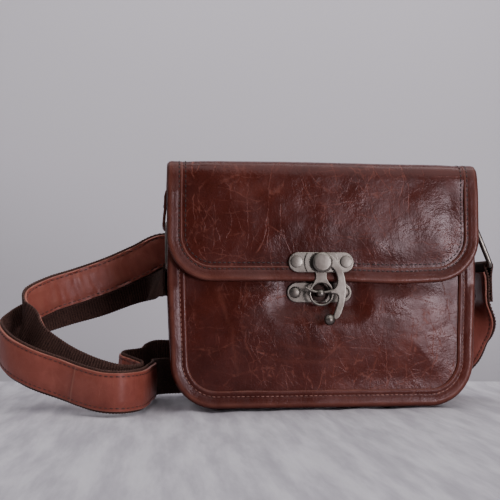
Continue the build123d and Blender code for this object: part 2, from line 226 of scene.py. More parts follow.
def spaced(line, pitch):
    """Seats at an even pitch along a line of (point, normal): each a place, a direction and a normal."""
    seats = []
    run = pitch / 2
    done = 0.0
    for (a, normal_a), (b, normal_b) in zip(line, line[1:]):
        length = (b - a).length
        while length > 0 and done + length >= run:
            t = (run - done) / length
            normal = normal_a.lerp(normal_b, t).normalized()
            seats.append((a.lerp(b, t), (b - a).normalized(), normal))
            run += pitch
        done += length
    return seats


def pucker(step, pitch):
    """How much an edge is pulled in at a step along it: 1 at each stitch hole and 0 between two."""
    return 0.5 + 0.5 * math.cos(2 * math.pi * step / pitch)


# A stitch: places along it and how thick it is there
STITCH_SHAPE = ((-0.5, 0.2), (-0.4, 0.75), (0.0, 1.0), (0.4, 0.75), (0.5, 0.2))


def stitches(name, seats, length, radius, material):
    """Short rounded thread stitches, one on each seat."""
    sides = 6
    points, faces = [], []
    for place, along, out in seats:
        side = along.cross(out).normalized()
        faces += tube_faces(len(points), sides, len(STITCH_SHAPE))
        for run, girth in STITCH_SHAPE:
            for k in range(sides):
                turn = 2 * math.pi * k / sides
                offset = side * math.cos(turn) + out * math.sin(turn)
                points.append(place + along * run * length + offset * girth * radius)
    return add_mesh(name, points, faces, material)


def dark_stitches(name, line):
    """A row of the bag's dark stitches along a line of (point, normal)."""
    return stitches(name, spaced(line, STITCH_PITCH), 2.1, 0.36, DARK_THREAD)


# ---- materials


class Surface:
    """A node material that is built up one node at a time."""

    def __init__(self, name):
        self.material = bpy.data.materials.new(name)
        self.material.use_nodes = True
        self.nodes = self.material.node_tree.nodes
        self.links = self.material.node_tree.links
        self.shader = self.nodes["Principled BSDF"]
        self.place = self.node("ShaderNodeTexCoord").outputs["Object"]

    def node(self, kind, settings=None, inputs=None):
        made = self.nodes.new(kind)
        for key, value in (settings or {}).items():
            setattr(made, key, value)
        for key, value in (inputs or {}).items():
            self.put(made.inputs[key], value)
        return made

    def put(self, socket, value):
        if isinstance(value, bpy.types.NodeSocket):
            self.links.new(value, socket)
        elif socket.type == "RGBA":
            socket.default_value = (*value, 1)
        else:
            socket.default_value = value

    def set(self, **values):
        """Sets the shader's sockets, with _ for each space in a name."""
        for key, value in values.items():
            self.put(self.shader.inputs[key.replace("_", " ")], value)

    def noise(self, scale, detail=3.0, roughness=0.5, place=None):
        inputs = {"Vector": place or self.place, "Scale": scale, "Detail": detail, "Roughness": roughness}
        return self.node("ShaderNodeTexNoise", None, inputs).outputs[0]

    def math(self, operation, a, b=0.0):
        return self.node("ShaderNodeMath", {"operation": operation}, {0: a, 1: b}).outputs[0]

    def times(self, a, b):
        return self.math("MULTIPLY", a, b)

    def spread(self, value, low, high, to_low=0.0, to_high=1.0):
        """Maps a value smoothly from one range to another."""
        inputs = {"Value": value, "From Min": low, "From Max": high, "To Min": to_low, "To Max": to_high}
        return self.node("ShaderNodeMapRange", {"interpolation_type": "SMOOTHSTEP"}, inputs).outputs[0]

    def mix(self, factor, a, b):
        inputs = {0: factor, 6: a, 7: b}
        return self.node("ShaderNodeMix", {"data_type": "RGBA"}, inputs).outputs[2]

    def stretched(self, scale, turn=(0.0, 0.0, 0.0), place=None):
        """The place turned and with each axis scaled."""
        inputs = {"Vector": place or self.place, "Rotation": turn}
        turned = self.node("ShaderNodeMapping", None, inputs).outputs[0]
        return self.node("ShaderNodeMapping", None, {"Vector": turned, "Scale": scale}).outputs[0]

    def warped(self, scale, amount, place=None):
        """The place pushed about by noise."""
        place = place or self.place
        kind = "ShaderNodeVectorMath"
        inputs = {"Vector": place, "Scale": scale, "Detail": 3.0}
        pushed = self.node("ShaderNodeTexNoise", None, inputs).outputs["Color"]
        centred = self.node(kind, {"operation": "SUBTRACT"}, {0: pushed, 1: (0.5, 0.5, 0.5)}).outputs[0]
        scaled = self.node(kind, {"operation": "SCALE"}, {0: centred, "Scale": amount}).outputs[0]
        return self.node(kind, {"operation": "ADD"}, {0: place, 1: scaled}).outputs[0]

    def cracks(self, scale, width, place=None):
        """Thin lines between cells: 1 on a line and 0 away from it."""
        inputs = {"Vector": place or self.place, "Scale": scale}
        cells = self.node("ShaderNodeTexVoronoi", {"feature": "DISTANCE_TO_EDGE"}, inputs)
        return self.spread(cells.outputs["Distance"], 0.0, width, 1.0, 0.0)

    def wear_and_light_level(self):
        return self.node("ShaderNodeAttribute", {"attribute_name": "wear_and_light"}).outputs["Fac"]

    def bump(self, height, distance, strength=1.0, under=None):
        inputs = {"Height": height, "Distance": distance, "Strength": strength}
        if under:
            inputs["Normal"] = under
        return self.node("ShaderNodeBump", None, inputs).outputs[0]


# Families of scratches: their turn in degrees, how each axis is squeezed, the cells in a metre, the
# width of a line within a cell and its strength.
SCRATCHES = (
    (-6.0, (1.0, 0.12, 0.14), 95.0, 0.026, 0.62),
    (20.0, (1.0, 0.12, 0.18), 80.0, 0.021, 0.5),
    (4.0, (0.20, 0.12, 1.0), 85.0, 0.022, 0.4),
    (0.0, (1.0, 0.12, 0.7), 190.0, 0.045, 0.34),
)


def leather(name, dark, middle, light, line, roughness, crackle):
    """Waxed leather: blotchy colour, pale scratches and crackle, fine grain, paler worn edges and painted
    highlights on creases and crumples.
    """
    surface = Surface(name)
    blotches = surface.noise(14.0, 4.0, 0.55)
    fine = surface.noise(70.0, 6.0, 0.65)
    shade = surface.math("ADD", surface.times(blotches, 0.6), surface.times(fine, 0.4))
    colour = surface.mix(surface.spread(shade, 0.38, 0.54), dark, middle)
    colour = surface.mix(surface.spread(shade, 0.52, 0.68, 0.0, 0.8), colour, light)
    patches = [surface.spread(surface.noise(scale, 3.0), 0.42, 0.6) for scale in (17.0, 23.0, 29.0, 37.0)]
    broken = surface.spread(surface.noise(240.0, 4.0, 0.7), 0.36, 0.6)
    curved = surface.warped(42.0, 0.012)
    lines = 0.0
    for (turn, stretch, scale, width, strength), patch in zip(SCRATCHES, patches):
        place = surface.stretched(stretch, (0.0, math.radians(turn), 0.0), curved)
        place = surface.warped(180.0, 0.0022, surface.warped(22.0, 0.012, place))
        drawn = surface.times(surface.cracks(scale, width, place), patch)
        lines = surface.math("MAXIMUM", surface.times(drawn, strength), lines)
    lines = surface.times(surface.times(lines, broken), crackle)
    wear_and_light = surface.wear_and_light_level()
    colour = surface.mix(surface.math("MAXIMUM", lines, surface.times(wear_and_light, 0.5)), colour, line)
    bumped = surface.bump(surface.noise(1000.0, 3.0), 0.00008, 0.45)
    bumped = surface.bump(surface.cracks(640.0, 0.3, surface.warped(90.0, 0.014)), -0.00006, 0.26, bumped)
    bumped = surface.bump(lines, -0.00020, 0.6, bumped)
    bumped = surface.bump(surface.noise(85.0, 4.0, 0.6), 0.0010, 0.4, bumped)
    gloss = surface.spread(surface.noise(60.0, 4.0), 0.3, 0.7, roughness - 0.06, roughness + 0.08)
    gloss = surface.math("ADD", gloss, surface.times(lines, 0.15))
    surface.set(Base_Color=colour, Roughness=gloss, Normal=bumped)
    surface.set(Specular_IOR_Level=0.22, Specular_Tint=(1.0, 0.86, 0.89))
    return surface.material


def cloth(name, dark, light, scale, roughness, sheen, depth):
    """Woven cloth: a fine crossed weave with slubs, paler where it is worn and along rib crests, where the
    paleness is a painted highlight.
    """
    surface = Surface(name)
    fine = surface.noise(scale, 3.0, 0.7)
    broad = surface.noise(45.0, 4.0)
    colour = surface.mix(surface.spread(fine, 0.35, 0.65), dark, light)
    colour = surface.mix(surface.spread(broad, 0.35, 0.7, 0.0, 0.3), colour, dark)
    wear_and_light = surface.wear_and_light_level()
    colour = surface.mix(surface.times(wear_and_light, 0.6), colour, light)
    across = surface.noise(scale * 1.2, 2.0, 0.5, surface.stretched((1.0, 1.0, 0.25)))
    bumped = surface.bump(fine, depth, 0.6)
    bumped = surface.bump(across, depth, 0.5, bumped)
    surface.set(Base_Color=colour, Roughness=roughness, Normal=bumped, Sheen_Weight=sheen)
    surface.set(Specular_IOR_Level=0.2)
    return surface.material


def metal(name, dark, bright, roughness):
    """Antique plated metal: cloudy, rubbed bright along its edges and painted near black as shade in its
    recesses and along its side walls.
    """
    surface = Surface(name)
    clouds = surface.noise(70.0, 4.0, 0.6)
    specks = surface.noise(1100.0, 3.0, 0.6)
    colour = surface.mix(surface.spread(clouds, 0.35, 0.65), dark, bright)
    colour = surface.mix(surface.spread(specks, 0.58, 0.75, 0.0, 0.45), colour, dark)
    rubbed = tuple(min(channel * 1.5, 0.9) for channel in bright)
    wear_and_light = surface.wear_and_light_level()
    colour = surface.mix(surface.times(wear_and_light, 0.7), colour, rubbed)
    # Negative values paint the metal near black: painted shade in recesses, on side walls, under heads and
    # on the post
    colour = surface.mix(surface.spread(wear_and_light, -1.0, -0.1, 0.9, 0.0), colour, (0.020, 0.009, 0.008))
    gloss = surface.spread(clouds, 0.3, 0.7, roughness + 0.08, roughness - 0.04)
    bumped = surface.bump(specks, 0.00003, 0.4)
    bumped = surface.bump(surface.noise(300.0, 3.0), 0.00008, 0.3, bumped)
    surface.set(Base_Color=colour, Roughness=gloss, Normal=bumped, Metallic=1.0)
    return surface.material


def thread(name, dark, light):
    """Waxed sewing thread."""
    surface = Surface(name)
    twist = surface.noise(2600.0, 1.0)
    colour = surface.mix(surface.spread(surface.noise(120.0, 3.0), 0.35, 0.65), dark, light)
    surface.set(Base_Color=colour, Roughness=0.55, Normal=surface.bump(twist, 0.0001, 0.6))
    return surface.material


# Leathers: their dark, middle and light colours, the colour of lines, worn edges and painted highlights,
# the roughness and how strongly the lines show
BODY_LEATHER = leather(
    "body_leather",
    (0.040, 0.0072, 0.0048), (0.060, 0.0115, 0.0078), (0.100, 0.0225, 0.0145),
    (0.230, 0.070, 0.047), 0.27, 0.9,
)
BINDING_LEATHER = leather(
    "binding_leather",
    (0.040, 0.0072, 0.0048), (0.058, 0.0115, 0.0078), (0.082, 0.0185, 0.0122),
    (0.240, 0.088, 0.062), 0.30, 0.35,
)
STRAP_LEATHER = leather(
    "strap_leather",
    (0.150, 0.036, 0.026), (0.205, 0.055, 0.040), (0.260, 0.078, 0.058),
    (0.360, 0.155, 0.110), 0.38, 0.25,
)
WEBBING_CLOTH = cloth("webbing", (0.012, 0.0055, 0.0048), (0.085, 0.040, 0.031), 1500.0, 0.8, 0.0, 0.0002)
LINING_CLOTH = cloth("lining", (0.055, 0.040, 0.034), (0.110, 0.085, 0.072), 1700.0, 0.85, 0.3, 0.00015)
DARK_THREAD = thread("dark_thread", (0.012, 0.004, 0.004), (0.030, 0.010, 0.008))
STRAP_THREAD = thread("strap_thread", (0.040, 0.011, 0.009), (0.080, 0.022, 0.017))
# The pale thread stands for the glints along the body binding's stitches: its paleness is a painted
# highlight
PALE_THREAD = thread("pale_thread", (0.110, 0.036, 0.026), (0.240, 0.105, 0.080))
ANTIQUE_METAL = metal("antique_metal", (0.125, 0.108, 0.095), (0.212, 0.192, 0.170), 0.36)


# ---- outlines


def outline(half, top, radius, step):
    """Places and inward normals down the left side, round the bottom and up the right side."""
    straight, flat = top - radius, 2 * (half - radius)
    rows, columns = round(straight / step), round(flat / step)
    turns = round(radius * math.pi / 2 / step)
    heights = [top - straight * k / rows for k in range(rows)]

    def corner(centre, first):
        stations = []
        for k in range(turns):
            turn = math.pi * (first + 0.5 * k / turns)
            normal = (-math.cos(turn), -math.sin(turn))
            stations.append(((centre - radius * normal[0], radius - radius * normal[1]), normal))
        return stations

    left = [((-half, z), (1.0, 0.0)) for z in heights]
    bottom = [((radius - half + flat * k / columns, 0.0), (0.0, 1.0)) for k in range(columns)]
    right = [((half, z), (-1.0, 0.0)) for z in reversed(heights)]
    return left + corner(radius - half, 1) + bottom + corner(half - radius, 1.5) + right


def drawn_in(station, inset):
    """A station's place moved inward by an inset."""
    (x, z), (nx, nz) = station
    return x + inset * nx, z + inset * nz


def settled(x, z):
    """X on the body where its sides draw in a little towards the bottom."""
    return x * (1 - 0.022 * (1 - smooth(18, 88, z)))


def edge_distance(x, z, half, radius):
    """How far a place is inside an outline that is square at the top and round at the bottom."""
    beyond = abs(x) - (half - radius)
    if beyond > 0 and z < radius:
        return radius - math.hypot(beyond, radius - z)
    return min(half - abs(x), z)


def outline_rows(half, top, radius, inset, step):
    """Rows of places that fill an outline drawn in by an inset, from the bottom up."""
    inner = radius - inset
    count = round(inner * math.pi / 2 / step)
    heights = []
    for k in range(count):
        turn = math.pi / 2 * k / count
        heights.append((inset + inner * (1 - math.cos(turn)), half - radius + inner * math.sin(turn)))
    straight = top - radius
    rows = round(straight / step)
    heights += [(radius + straight * k / rows, half - inset) for k in range(rows + 1)]
    columns = round(2 * (half - inset) / step)
    return [[(reach * (2 * c / columns - 1), z) for c in range(columns + 1)] for z, reach in heights]


# ---- body

# Creases in the front panel: where each starts and ends, its depth and its width
CREASES = [
    ((-68, 74), (-60, 52), 0.5, 1.0), ((-60, 52), (-55, 22), 0.4, 1.0), ((-12, 62), (4, 38), 0.5, 1.2),
    ((-6, 62), (12, 36), 0.45, 1.1), ((-16, 60), (-8, 30), 0.35, 1.2), ((2, 42), (26, 22), 0.4, 1.3),
    ((-30, 40), (10, 33), 0.3, 1.2), ((-38, 30), (28, 27), 0.3, 1.2), ((22, 62), (58, 54), 0.6, 1.2),
    ((44, 66), (60, 56), 0.5, 1.0), ((34, 48), (80, 40), 0.5, 1.2), ((56, 60), (58, 72), 0.5, 0.9),
    ((60, 44), (84, 52), 0.5, 1.1), ((30, 34), (70, 26), 0.35, 1.3),
]


def crease_depth(x, z):
    """How deep the front panel's listed creases are at a place, from 0 to about 0.6."""
    deepest = 0.0
    for k, ((ax, az), (bx, bz), depth, width) in enumerate(CREASES):
        wobble = 2.2 * lumps((x, z, 0), 11, 20 + k)
        px, pz = x + wobble, z + 0.6 * wobble
        run = (bx - ax) ** 2 + (bz - az) ** 2
        t = min(max(((px - ax) * (bx - ax) + (pz - az) * (bz - az)) / run, 0), 1)
        away = math.hypot(px - ax - t * (bx - ax), pz - az - t * (bz - az))
        taper = 0.35 + 2.6 * t * (1 - t)
        deepest = max(deepest, depth * min(taper, 1) * math.exp(-((away / width) ** 2)))
    return deepest


def plate_clearance(x, z, centre_z, reach):
    """0 under a clasp plate and 1 a reach away from it."""
    beyond_x = max(abs(x - CLASP_X) - PLATE_HALF_LENGTH, 0)
    beyond_z = max(abs(z - centre_z) - PLATE_HALF_HEIGHT, 0)
    return smooth(0, reach, math.hypot(beyond_x, beyond_z))


def front_swell(x, z):
    """How far the front panel stands out from its flat place."""
    inside = edge_distance(x, z, HALF_WIDTH, CORNER)
    swell = 2.6 * smooth(10, 48, inside)
    swell += 0.6 * lumps((x, z * 0.8, 0), 42, 1) + 0.28 * lumps((x, z, 0), 15, 2)
    swell *= smooth(9, 22, inside) * plate_clearance(x, z, POST_Z, 16)
    return swell * (1 - 0.6 * smooth(66, 80, z)) - 0.13 * crease_depth(x, z)


def back_swell(x, z):
    """How far the back panel stands out from its flat place."""
    inside = edge_distance(x, z, HALF_WIDTH, CORNER)
    swell = 1.3 * smooth(10, 48, inside) + 0.8 * lumps((x, z, 0), 40, 4) + 0.3 * lumps((x, z, 0), 14, 5)
    return swell * smooth(9, 22, inside) * (1 - smooth(112, 128, z))


def panel(name, face, outward, swell, creased):
    """A leather panel with its swell on the outer face."""
    rows = outline_rows(HALF_WIDTH, BODY_TOP, CORNER, 3.0, PANEL_STEP)

    def faces_at(x, z):
        px = settled(x, z)
        return (px, face + outward * swell(x, z), z), (px, face - outward * PANEL, z)

    wear_and_light = None
    if creased:
        # Pale along the creases, faded out to the right: wear, with a painted highlight on the shaded left
        # side of the panel
        wear_and_light = [[0.9 * crease_depth(x, z) * (1 - smooth(8, 24, x)) for x, z in row] for row in rows]
    placed(layered(name, rows, faces_at, BODY_LEATHER, wear_and_light), "body_leather", "bag", name)


# The binding's section: inset from the edge, height over the panel and how worn it is
BODY_BINDING = [
    (11.0, -0.2, 0.2), (10.95, 0.75, 0.9), (10.6, 1.15, 0.6), (9.6, 1.3, 0.1), (8.4, 1.25, 0.0),
    (7.5, 0.95, 0.0), (6.6, 1.3, 0.0), (5.2, 1.5, 0.0), (3.8, 1.8, 0.25), (2.6, 1.95, 0.75),
    (1.6, 1.75, 0.55), (0.7, 1.1, 0.1), (0.15, 0.1, 0.0), (0.0, -1.2, 0.0), (0.0, -3.2, 0.0),
    (0.3, -4.4, 0.2), (1.1, -5.0, 0.3), (2.4, -5.1, 0.0), (3.6, -4.9, 0.4), (3.6, -3.9, 0.0),
    (1.5, -3.7, 0.0), (1.5, -0.2, 0.0),
]
GROOVE_INSET = 7.5
INNER_ROW_INSET = 11.4


def body_binding(name, face, outward, covered_from):
    """A strip folded round a panel's edge, with a stitched groove and a ridge near its fold."""
    stations = outline(HALF_WIDTH, BODY_TOP, CORNER, 1.0)
    rings, wear_and_light, groove = [], [], []
    for k, station in enumerate(stations):
        x, z = station[0]
        flat = smooth(covered_from, covered_from + 5, z)
        puckered = pucker(k, STITCH_PITCH)
        ring, values = [], []
        # The ridge is pressed flat under the flap, and the groove is pulled in at each stitch hole
        for inset, height, wear_and_light_level in BODY_BINDING:
            if height > 1.3:
                height -= (height - 1.3) * flat
            if inset == GROOVE_INSET:
                height -= 0.2 * puckered
            if inset > 1 and height > 0.5:
                height += 0.18 * lumps((x, z, face), 13, 6) * (1 - flat)
            wander = 0.35 * lumps((x, z, face), 17, 7) if inset > 10 else 0.0
            px, pz = drawn_in(station, inset + wander)
            ring.append(Vector((settled(px, z), face + outward * height, pz)))
            values.append(wear_and_light_level * (0.6 + 0.8 * abs(lumps((x, z, inset), 9, 8))))
        rings.append(ring)
        wear_and_light.append(values)
        px, pz = drawn_in(station, GROOVE_INSET)
        groove.append((Vector((settled(px, z), face + outward * 1.15, pz)), Vector((0, outward, 0))))
    placed(swept(name, rings, BINDING_LEATHER, wear_and_light), "body_leather", "bag", name)
    # Pale thread: a painted highlight for the glints on these stitches
    sewn = stitches(name + "_stitches", spaced(groove, STITCH_PITCH), 2.1, 0.33, PALE_THREAD)
    placed(sewn, "body_leather", "bag")


def wall_rows(top, step, half, columns):
    """Rows of (station, Y) that go across the sides and the floor, from the left side to the right."""
    across = [half * (2 * k / columns - 1) for k in range(columns + 1)]
    return [[(station, y) for y in across] for station in outline(HALF_WIDTH, top, CORNER, step)]


def wall_points(station, y, *insets):
    """A point at each inset from a station of the outline."""
    places = [drawn_in(station, inset) for inset in insets]
    return [(settled(x, z), y, z) for x, z in places]


def gusset():
    """The wall round the sides and bottom, drawn in a little between the two bindings."""
    half = BACK - 3.8

    def faces_at(station, y):
        x, z = station[0]
        held = 1 - smooth(112, 122, z) * (1 - smooth(10, 20, abs(y)))
        sink = (0.9 + 0.8 * lumps((x, y, z), 26, 9)) * (1 - (y / half) ** 2) * held
        return wall_points(station, y, WALL_INSET + max(sink, -0.2), WALL_INSET + WALL + max(sink, 0))

    rows = wall_rows(BODY_TOP, 2.0, half, 30)
    placed(layered("gusset", rows, faces_at, BODY_LEATHER), "body_leather", "bag", "gusset")


def fullness(inside):
    """The share of a pad's thickness at a distance inside its edge."""
    return 0.35 + 0.65 * math.sqrt(min(max(inside, 0) / 4.5, 1.0))


def face_padding(side, face, outward):
    """The padded lining of the front or back, thinner at its edges and rounded at its top."""
    rows = outline_rows(HALF_WIDTH, PAD_TOP, CORNER, PAD_INSET, 3.0)
    start = 2.0
    depth = abs(face) - start - PAD_FACE

    def faces_at(x, z):
        px = settled(x, z)
        inside = min(edge_distance(x, z, HALF_WIDTH, CORNER) - PAD_INSET, PAD_TOP - z)
        swell = 0.5 * lumps((x, z, face), 38, 11) * smooth(5, 25, inside)
        far = start + depth * fullness(inside) + swell
        return (px, face - outward * start, z), (px, face - outward * far, z)

    made = layered(side + "_lining", rows, faces_at, LINING_CLOTH)
    placed(made, "lining", "bag", side + "_lining", side + "_pad")


def side_padding():
    """The padded lining of the sides and floor in one U-shaped strip."""

    def faces_at(station, y):
        x, z = station[0]
        swell = 0.4 * lumps((x, y, z), 30, 12)
        depth = (LINING_INSET - PAD_INSET) * fullness(PAD_TOP - z) + swell
        return wall_points(station, y, PAD_INSET, PAD_INSET + depth)

    made = layered("side_lining", wall_rows(PAD_TOP, 3.0, PAD_FACE, 20), faces_at, LINING_CLOTH)
    placed(made, "lining", "bag", "side_lining", "side_pad")


def divider():
    """The padded divider: full in the middle and thin at its bound edges."""
    low, high = (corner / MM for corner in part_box("divider"))
    middle = (low.x + high.x) / 2
    columns, count = 26, 44
    across = [low.y + (high.y - low.y) * c / columns for c in range(columns + 1)]
    up = [low.z + (high.z - low.z) * r / count for r in range(count + 1)]

    def faces_at(y, z):
        inside = min(y - low.y, high.y - y, z - low.z, high.z - z)
        half = 0.5 + 2.3 * math.sqrt(min(inside / 5.0, 1.0)) + 0.3 * lumps((y, z, 0), 20, 13)
        return (middle + half, y, z), (middle - half, y, z)

    made = layered("divider", [[(y, z) for y in across] for z in up], faces_at, LINING_CLOTH)
    placed(made, "lining", "divider_body", "divider")


panel("front_panel", FRONT, -1, front_swell, True)
panel("back_panel", BACK, 1, back_swell, False)
body_binding("front_binding", FRONT, -1, 72)
body_binding("back_binding", BACK, 1, 122)
gusset()
face_padding("front", FRONT, -1)
face_padding("back", BACK, 1)
side_padding()
divider()

# ---- flap


def flap_line(run):
    """The underside of the flap at a distance along it from its lower edge: Y, Z and the outward normal."""
    if run < DROP:
        return FLAP_FRONT, FLAP_LOW + run, -1.0, 0.0
    run -= DROP
    if run < SHOULDER_ARC:
        turn = run / SHOULDER
        y = FLAP_FRONT + SHOULDER - SHOULDER * math.cos(turn)
        return y, FLAP_TOP - SHOULDER + SHOULDER * math.sin(turn), -math.cos(turn), math.sin(turn)
    run -= SHOULDER_ARC
    if run < TOP_RUN:
        return FLAP_FRONT + SHOULDER + run, FLAP_TOP, 0.0, 1.0
    run -= TOP_RUN
    if run < SHOULDER_ARC:
        turn = run / SHOULDER
        y = FLAP_REAR - SHOULDER + SHOULDER * math.sin(turn)
        return y, FLAP_TOP - SHOULDER + SHOULDER * math.cos(turn), math.sin(turn), math.cos(turn)
    run -= SHOULDER_ARC
    return FLAP_REAR, FLAP_TOP - SHOULDER - run, 1.0, 0.0


def flap_point(x, run, height):
    """A point of the flap at a height over its underside. Its lower right edge droops a little."""
    droop = 1.5 * math.exp(-(((x - 44) / 26) ** 2)) * (1 - smooth(0, 34, run))
    y, z, ny, nz = flap_line(run - droop)
    rear = smooth(FLAP_LENGTH - REAR_DROP - 2, FLAP_LENGTH - REAR_DROP + 4, run)
    height -= 1.3 * rear * smooth(0, 7, 86 - abs(x))
    return Vector((x, y + ny * height, z + nz * height))


def flap_normal(run):
    _, _, ny, nz = flap_line(run)
    return Vector((0, ny, nz))


def rounding(run):
    """How much the front shoulder is cut back so that it turns over softly."""
    return 0.9 * math.exp(-(((run - DROP - SHOULDER_ARC / 2) / 3.2) ** 2))


def flap_swell(x, run):
    """How far the flap's leather stands up from its flat place."""
    inside = min(edge_distance(x, run, FLAP_HALF, FLAP_CORNER), FLAP_LENGTH - run)
    z = FLAP_LOW + run
    swell = 0.8 * smooth(9, 26, inside)
    broad = 0.9 * lumps((x, run * 0.45, 0), 30, 31) + 0.35 * lumps((x, run * 0.8, 0), 13, 32)
    near_clasp = plate_clearance(x, z, PIVOT_Z, 18)
    level = smooth(DROP - 16, DROP, run)
    broad = (broad * (0.3 + 0.7 * near_clasp) + 0.6 * near_clasp) * (1 - 0.85 * level)
    crown = level * (0.9 + 0.5 * math.exp(-(((x + 22) / 50) ** 2)))
    return swell * (1 - 0.5 * level) + broad * smooth(9, 20, inside) + crown - rounding(run)


def flap_face(x, run):
    """The height of the flap's leather over its underside."""
    return FLAP_OUTER + flap_swell(x, run)


def bend(piece, slot, *nodes):
    """Hides the CAD nodes that the piece stands for and bakes its place into its mesh."""
    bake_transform(named(piece, slot, *nodes))


def flap_sheet(name, low, high, step, material, slot):
    """One layer of the flap, between two heights over its underside."""
    rows = outline_rows(FLAP_HALF, FLAP_LENGTH, FLAP_CORNER, 1.3, step)

    def faces_at(x, run):
        return flap_point(x, run, high(x, run)), flap_point(x, run, low)

    bend(layered(name, rows, faces_at, material), slot, name)


# The flap binding's section: inset from the edge, height over the flap's underside and wear
FLAP_BINDING = [
    (9.5, 2.5, 0.2), (9.45, 3.65, 0.9), (9.1, 4.05, 0.6), (8.4, 4.15, 0.1), (7.5, 3.85, 0.0),
    (6.6, 4.15, 0.0), (5.0, 4.25, 0.0), (3.4, 4.5, 0.2), (2.2, 4.75, 0.6), (1.2, 4.65, 0.5),
    (0.5, 4.2, 0.2), (0.1, 3.4, 0.0), (0.0, 2.2, 0.0), (0.0, 0.8, 0.3), (0.2, 0.0, 0.6),
    (0.7, -0.5, 0.2), (1.7, -0.75, 0.0), (5.5, -0.75, 0.3), (5.5, 0.0, 0.0), (1.35, 0.0, 0.0),
    (1.35, 2.5, 0.0),
]


def flap_edge():
    """The flap's binding, its two rows of stitches and the lap where the binding's ends meet."""
    stations = outline(FLAP_HALF, FLAP_LENGTH, FLAP_CORNER, 1.0)
    rings, wear_and_light, groove, inner_row = [], [], [], []
    for k, station in enumerate(stations):
        x, run = station[0]
        puckered = pucker(k, STITCH_PITCH)
        lap = math.exp(-(((run - DROP + 13) / 3.5) ** 2)) if x < 0 else 0.0
        under = smooth(DROP, DROP + 6, run)
        over_top = smooth(DROP - 14, DROP + 1, run)
        rolled = 1.7 * math.exp(-(((x + 52) / 19) ** 2)) * (1 - smooth(0, 16, run))
        ring, values = [], []
        # The ridge levels out over the top, laps in one place and rolls out in another
        for inset, height, wear_and_light_level in FLAP_BINDING:
            if inset == GROOVE_INSET and height > 0:
                height -= 0.25 * puckered
            if height > 2:
                height += (3.9 - height) * 0.7 * over_top - rounding(run)
                height -= 1.7 * over_top * max(1 - inset / 3.2, 0) ** 2
            if height > 3:
                height += 0.15 * lumps((x, run, 0), 13, 33) + 0.4 * lap
                height += rolled * max(1 - inset / 8.4, 0)
            if height < 0:
                height *= 1 - 0.6 * under
            wander = 0.3 * lumps((x, run, 0), 17, 34) if inset > 9 else 0.0
            px, pr = drawn_in(station, inset + wander)
            ring.append(flap_point(px, pr, height))
            values.append(wear_and_light_level * (0.6 + 0.8 * abs(lumps((x, run, inset), 9, 35))) + 0.1 * (height > 3))
        rings.append(ring)
        wear_and_light.append(values)
        px, pr = drawn_in(station, GROOVE_INSET)
        groove.append((flap_point(px, pr, 4.0 - 0.1 * over_top - rounding(pr)), flap_normal(pr)))
        px, pr = drawn_in(station, INNER_ROW_INSET)
        inner_row.append((flap_point(px, pr, flap_face(px, pr) + 0.1), flap_normal(pr)))
    bend(swept("flap_binding", rings, BINDING_LEATHER, wear_and_light), "body_leather", "flap_binding")
    for name, line in (("flap_outer_stitches", groove), ("flap_inner_stitches", inner_row)):
        bend(dark_stitches(name, line), "body_leather")


def rear_stitches():
    """Two rows that sew the flap to the back."""
    for k, drop in enumerate((4.0, 8.0)):
        run = FLAP_LENGTH - drop
        line = [(flap_point(x, run, flap_face(x, run) + 0.15), flap_normal(run)) for x in range(-84, 85)]
        bend(dark_stitches("rear_stitches_" + str(k), line), "body_leather")


flap_sheet("flap_leather", FLAP_LINING, flap_face, PANEL_STEP, BODY_LEATHER, "body_leather")
flap_sheet("flap_lining", 0.0, lambda x, run: FLAP_LINING, 3.0, LINING_CLOTH, "lining")
flap_edge()
rear_stitches()

# ---- clasp and rings


def finished(node):
    """Gives a CAD node that stays in view its metal finish and softened edges."""
    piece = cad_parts[node]
    piece.data.materials.clear()
    piece.data.materials.append(ANTIQUE_METAL)
    piece.data.shade_smooth()
    piece.data.set_sharp_from_angle(angle=math.radians(40))
    softened = piece.modifiers.new("softened", "BEVEL")
    softened.width = 0.25 * MM
    softened.segments = 2
    softened.limit_method = "ANGLE"
    softened.angle_limit = math.radians(40)
    softened.harden_normals = True


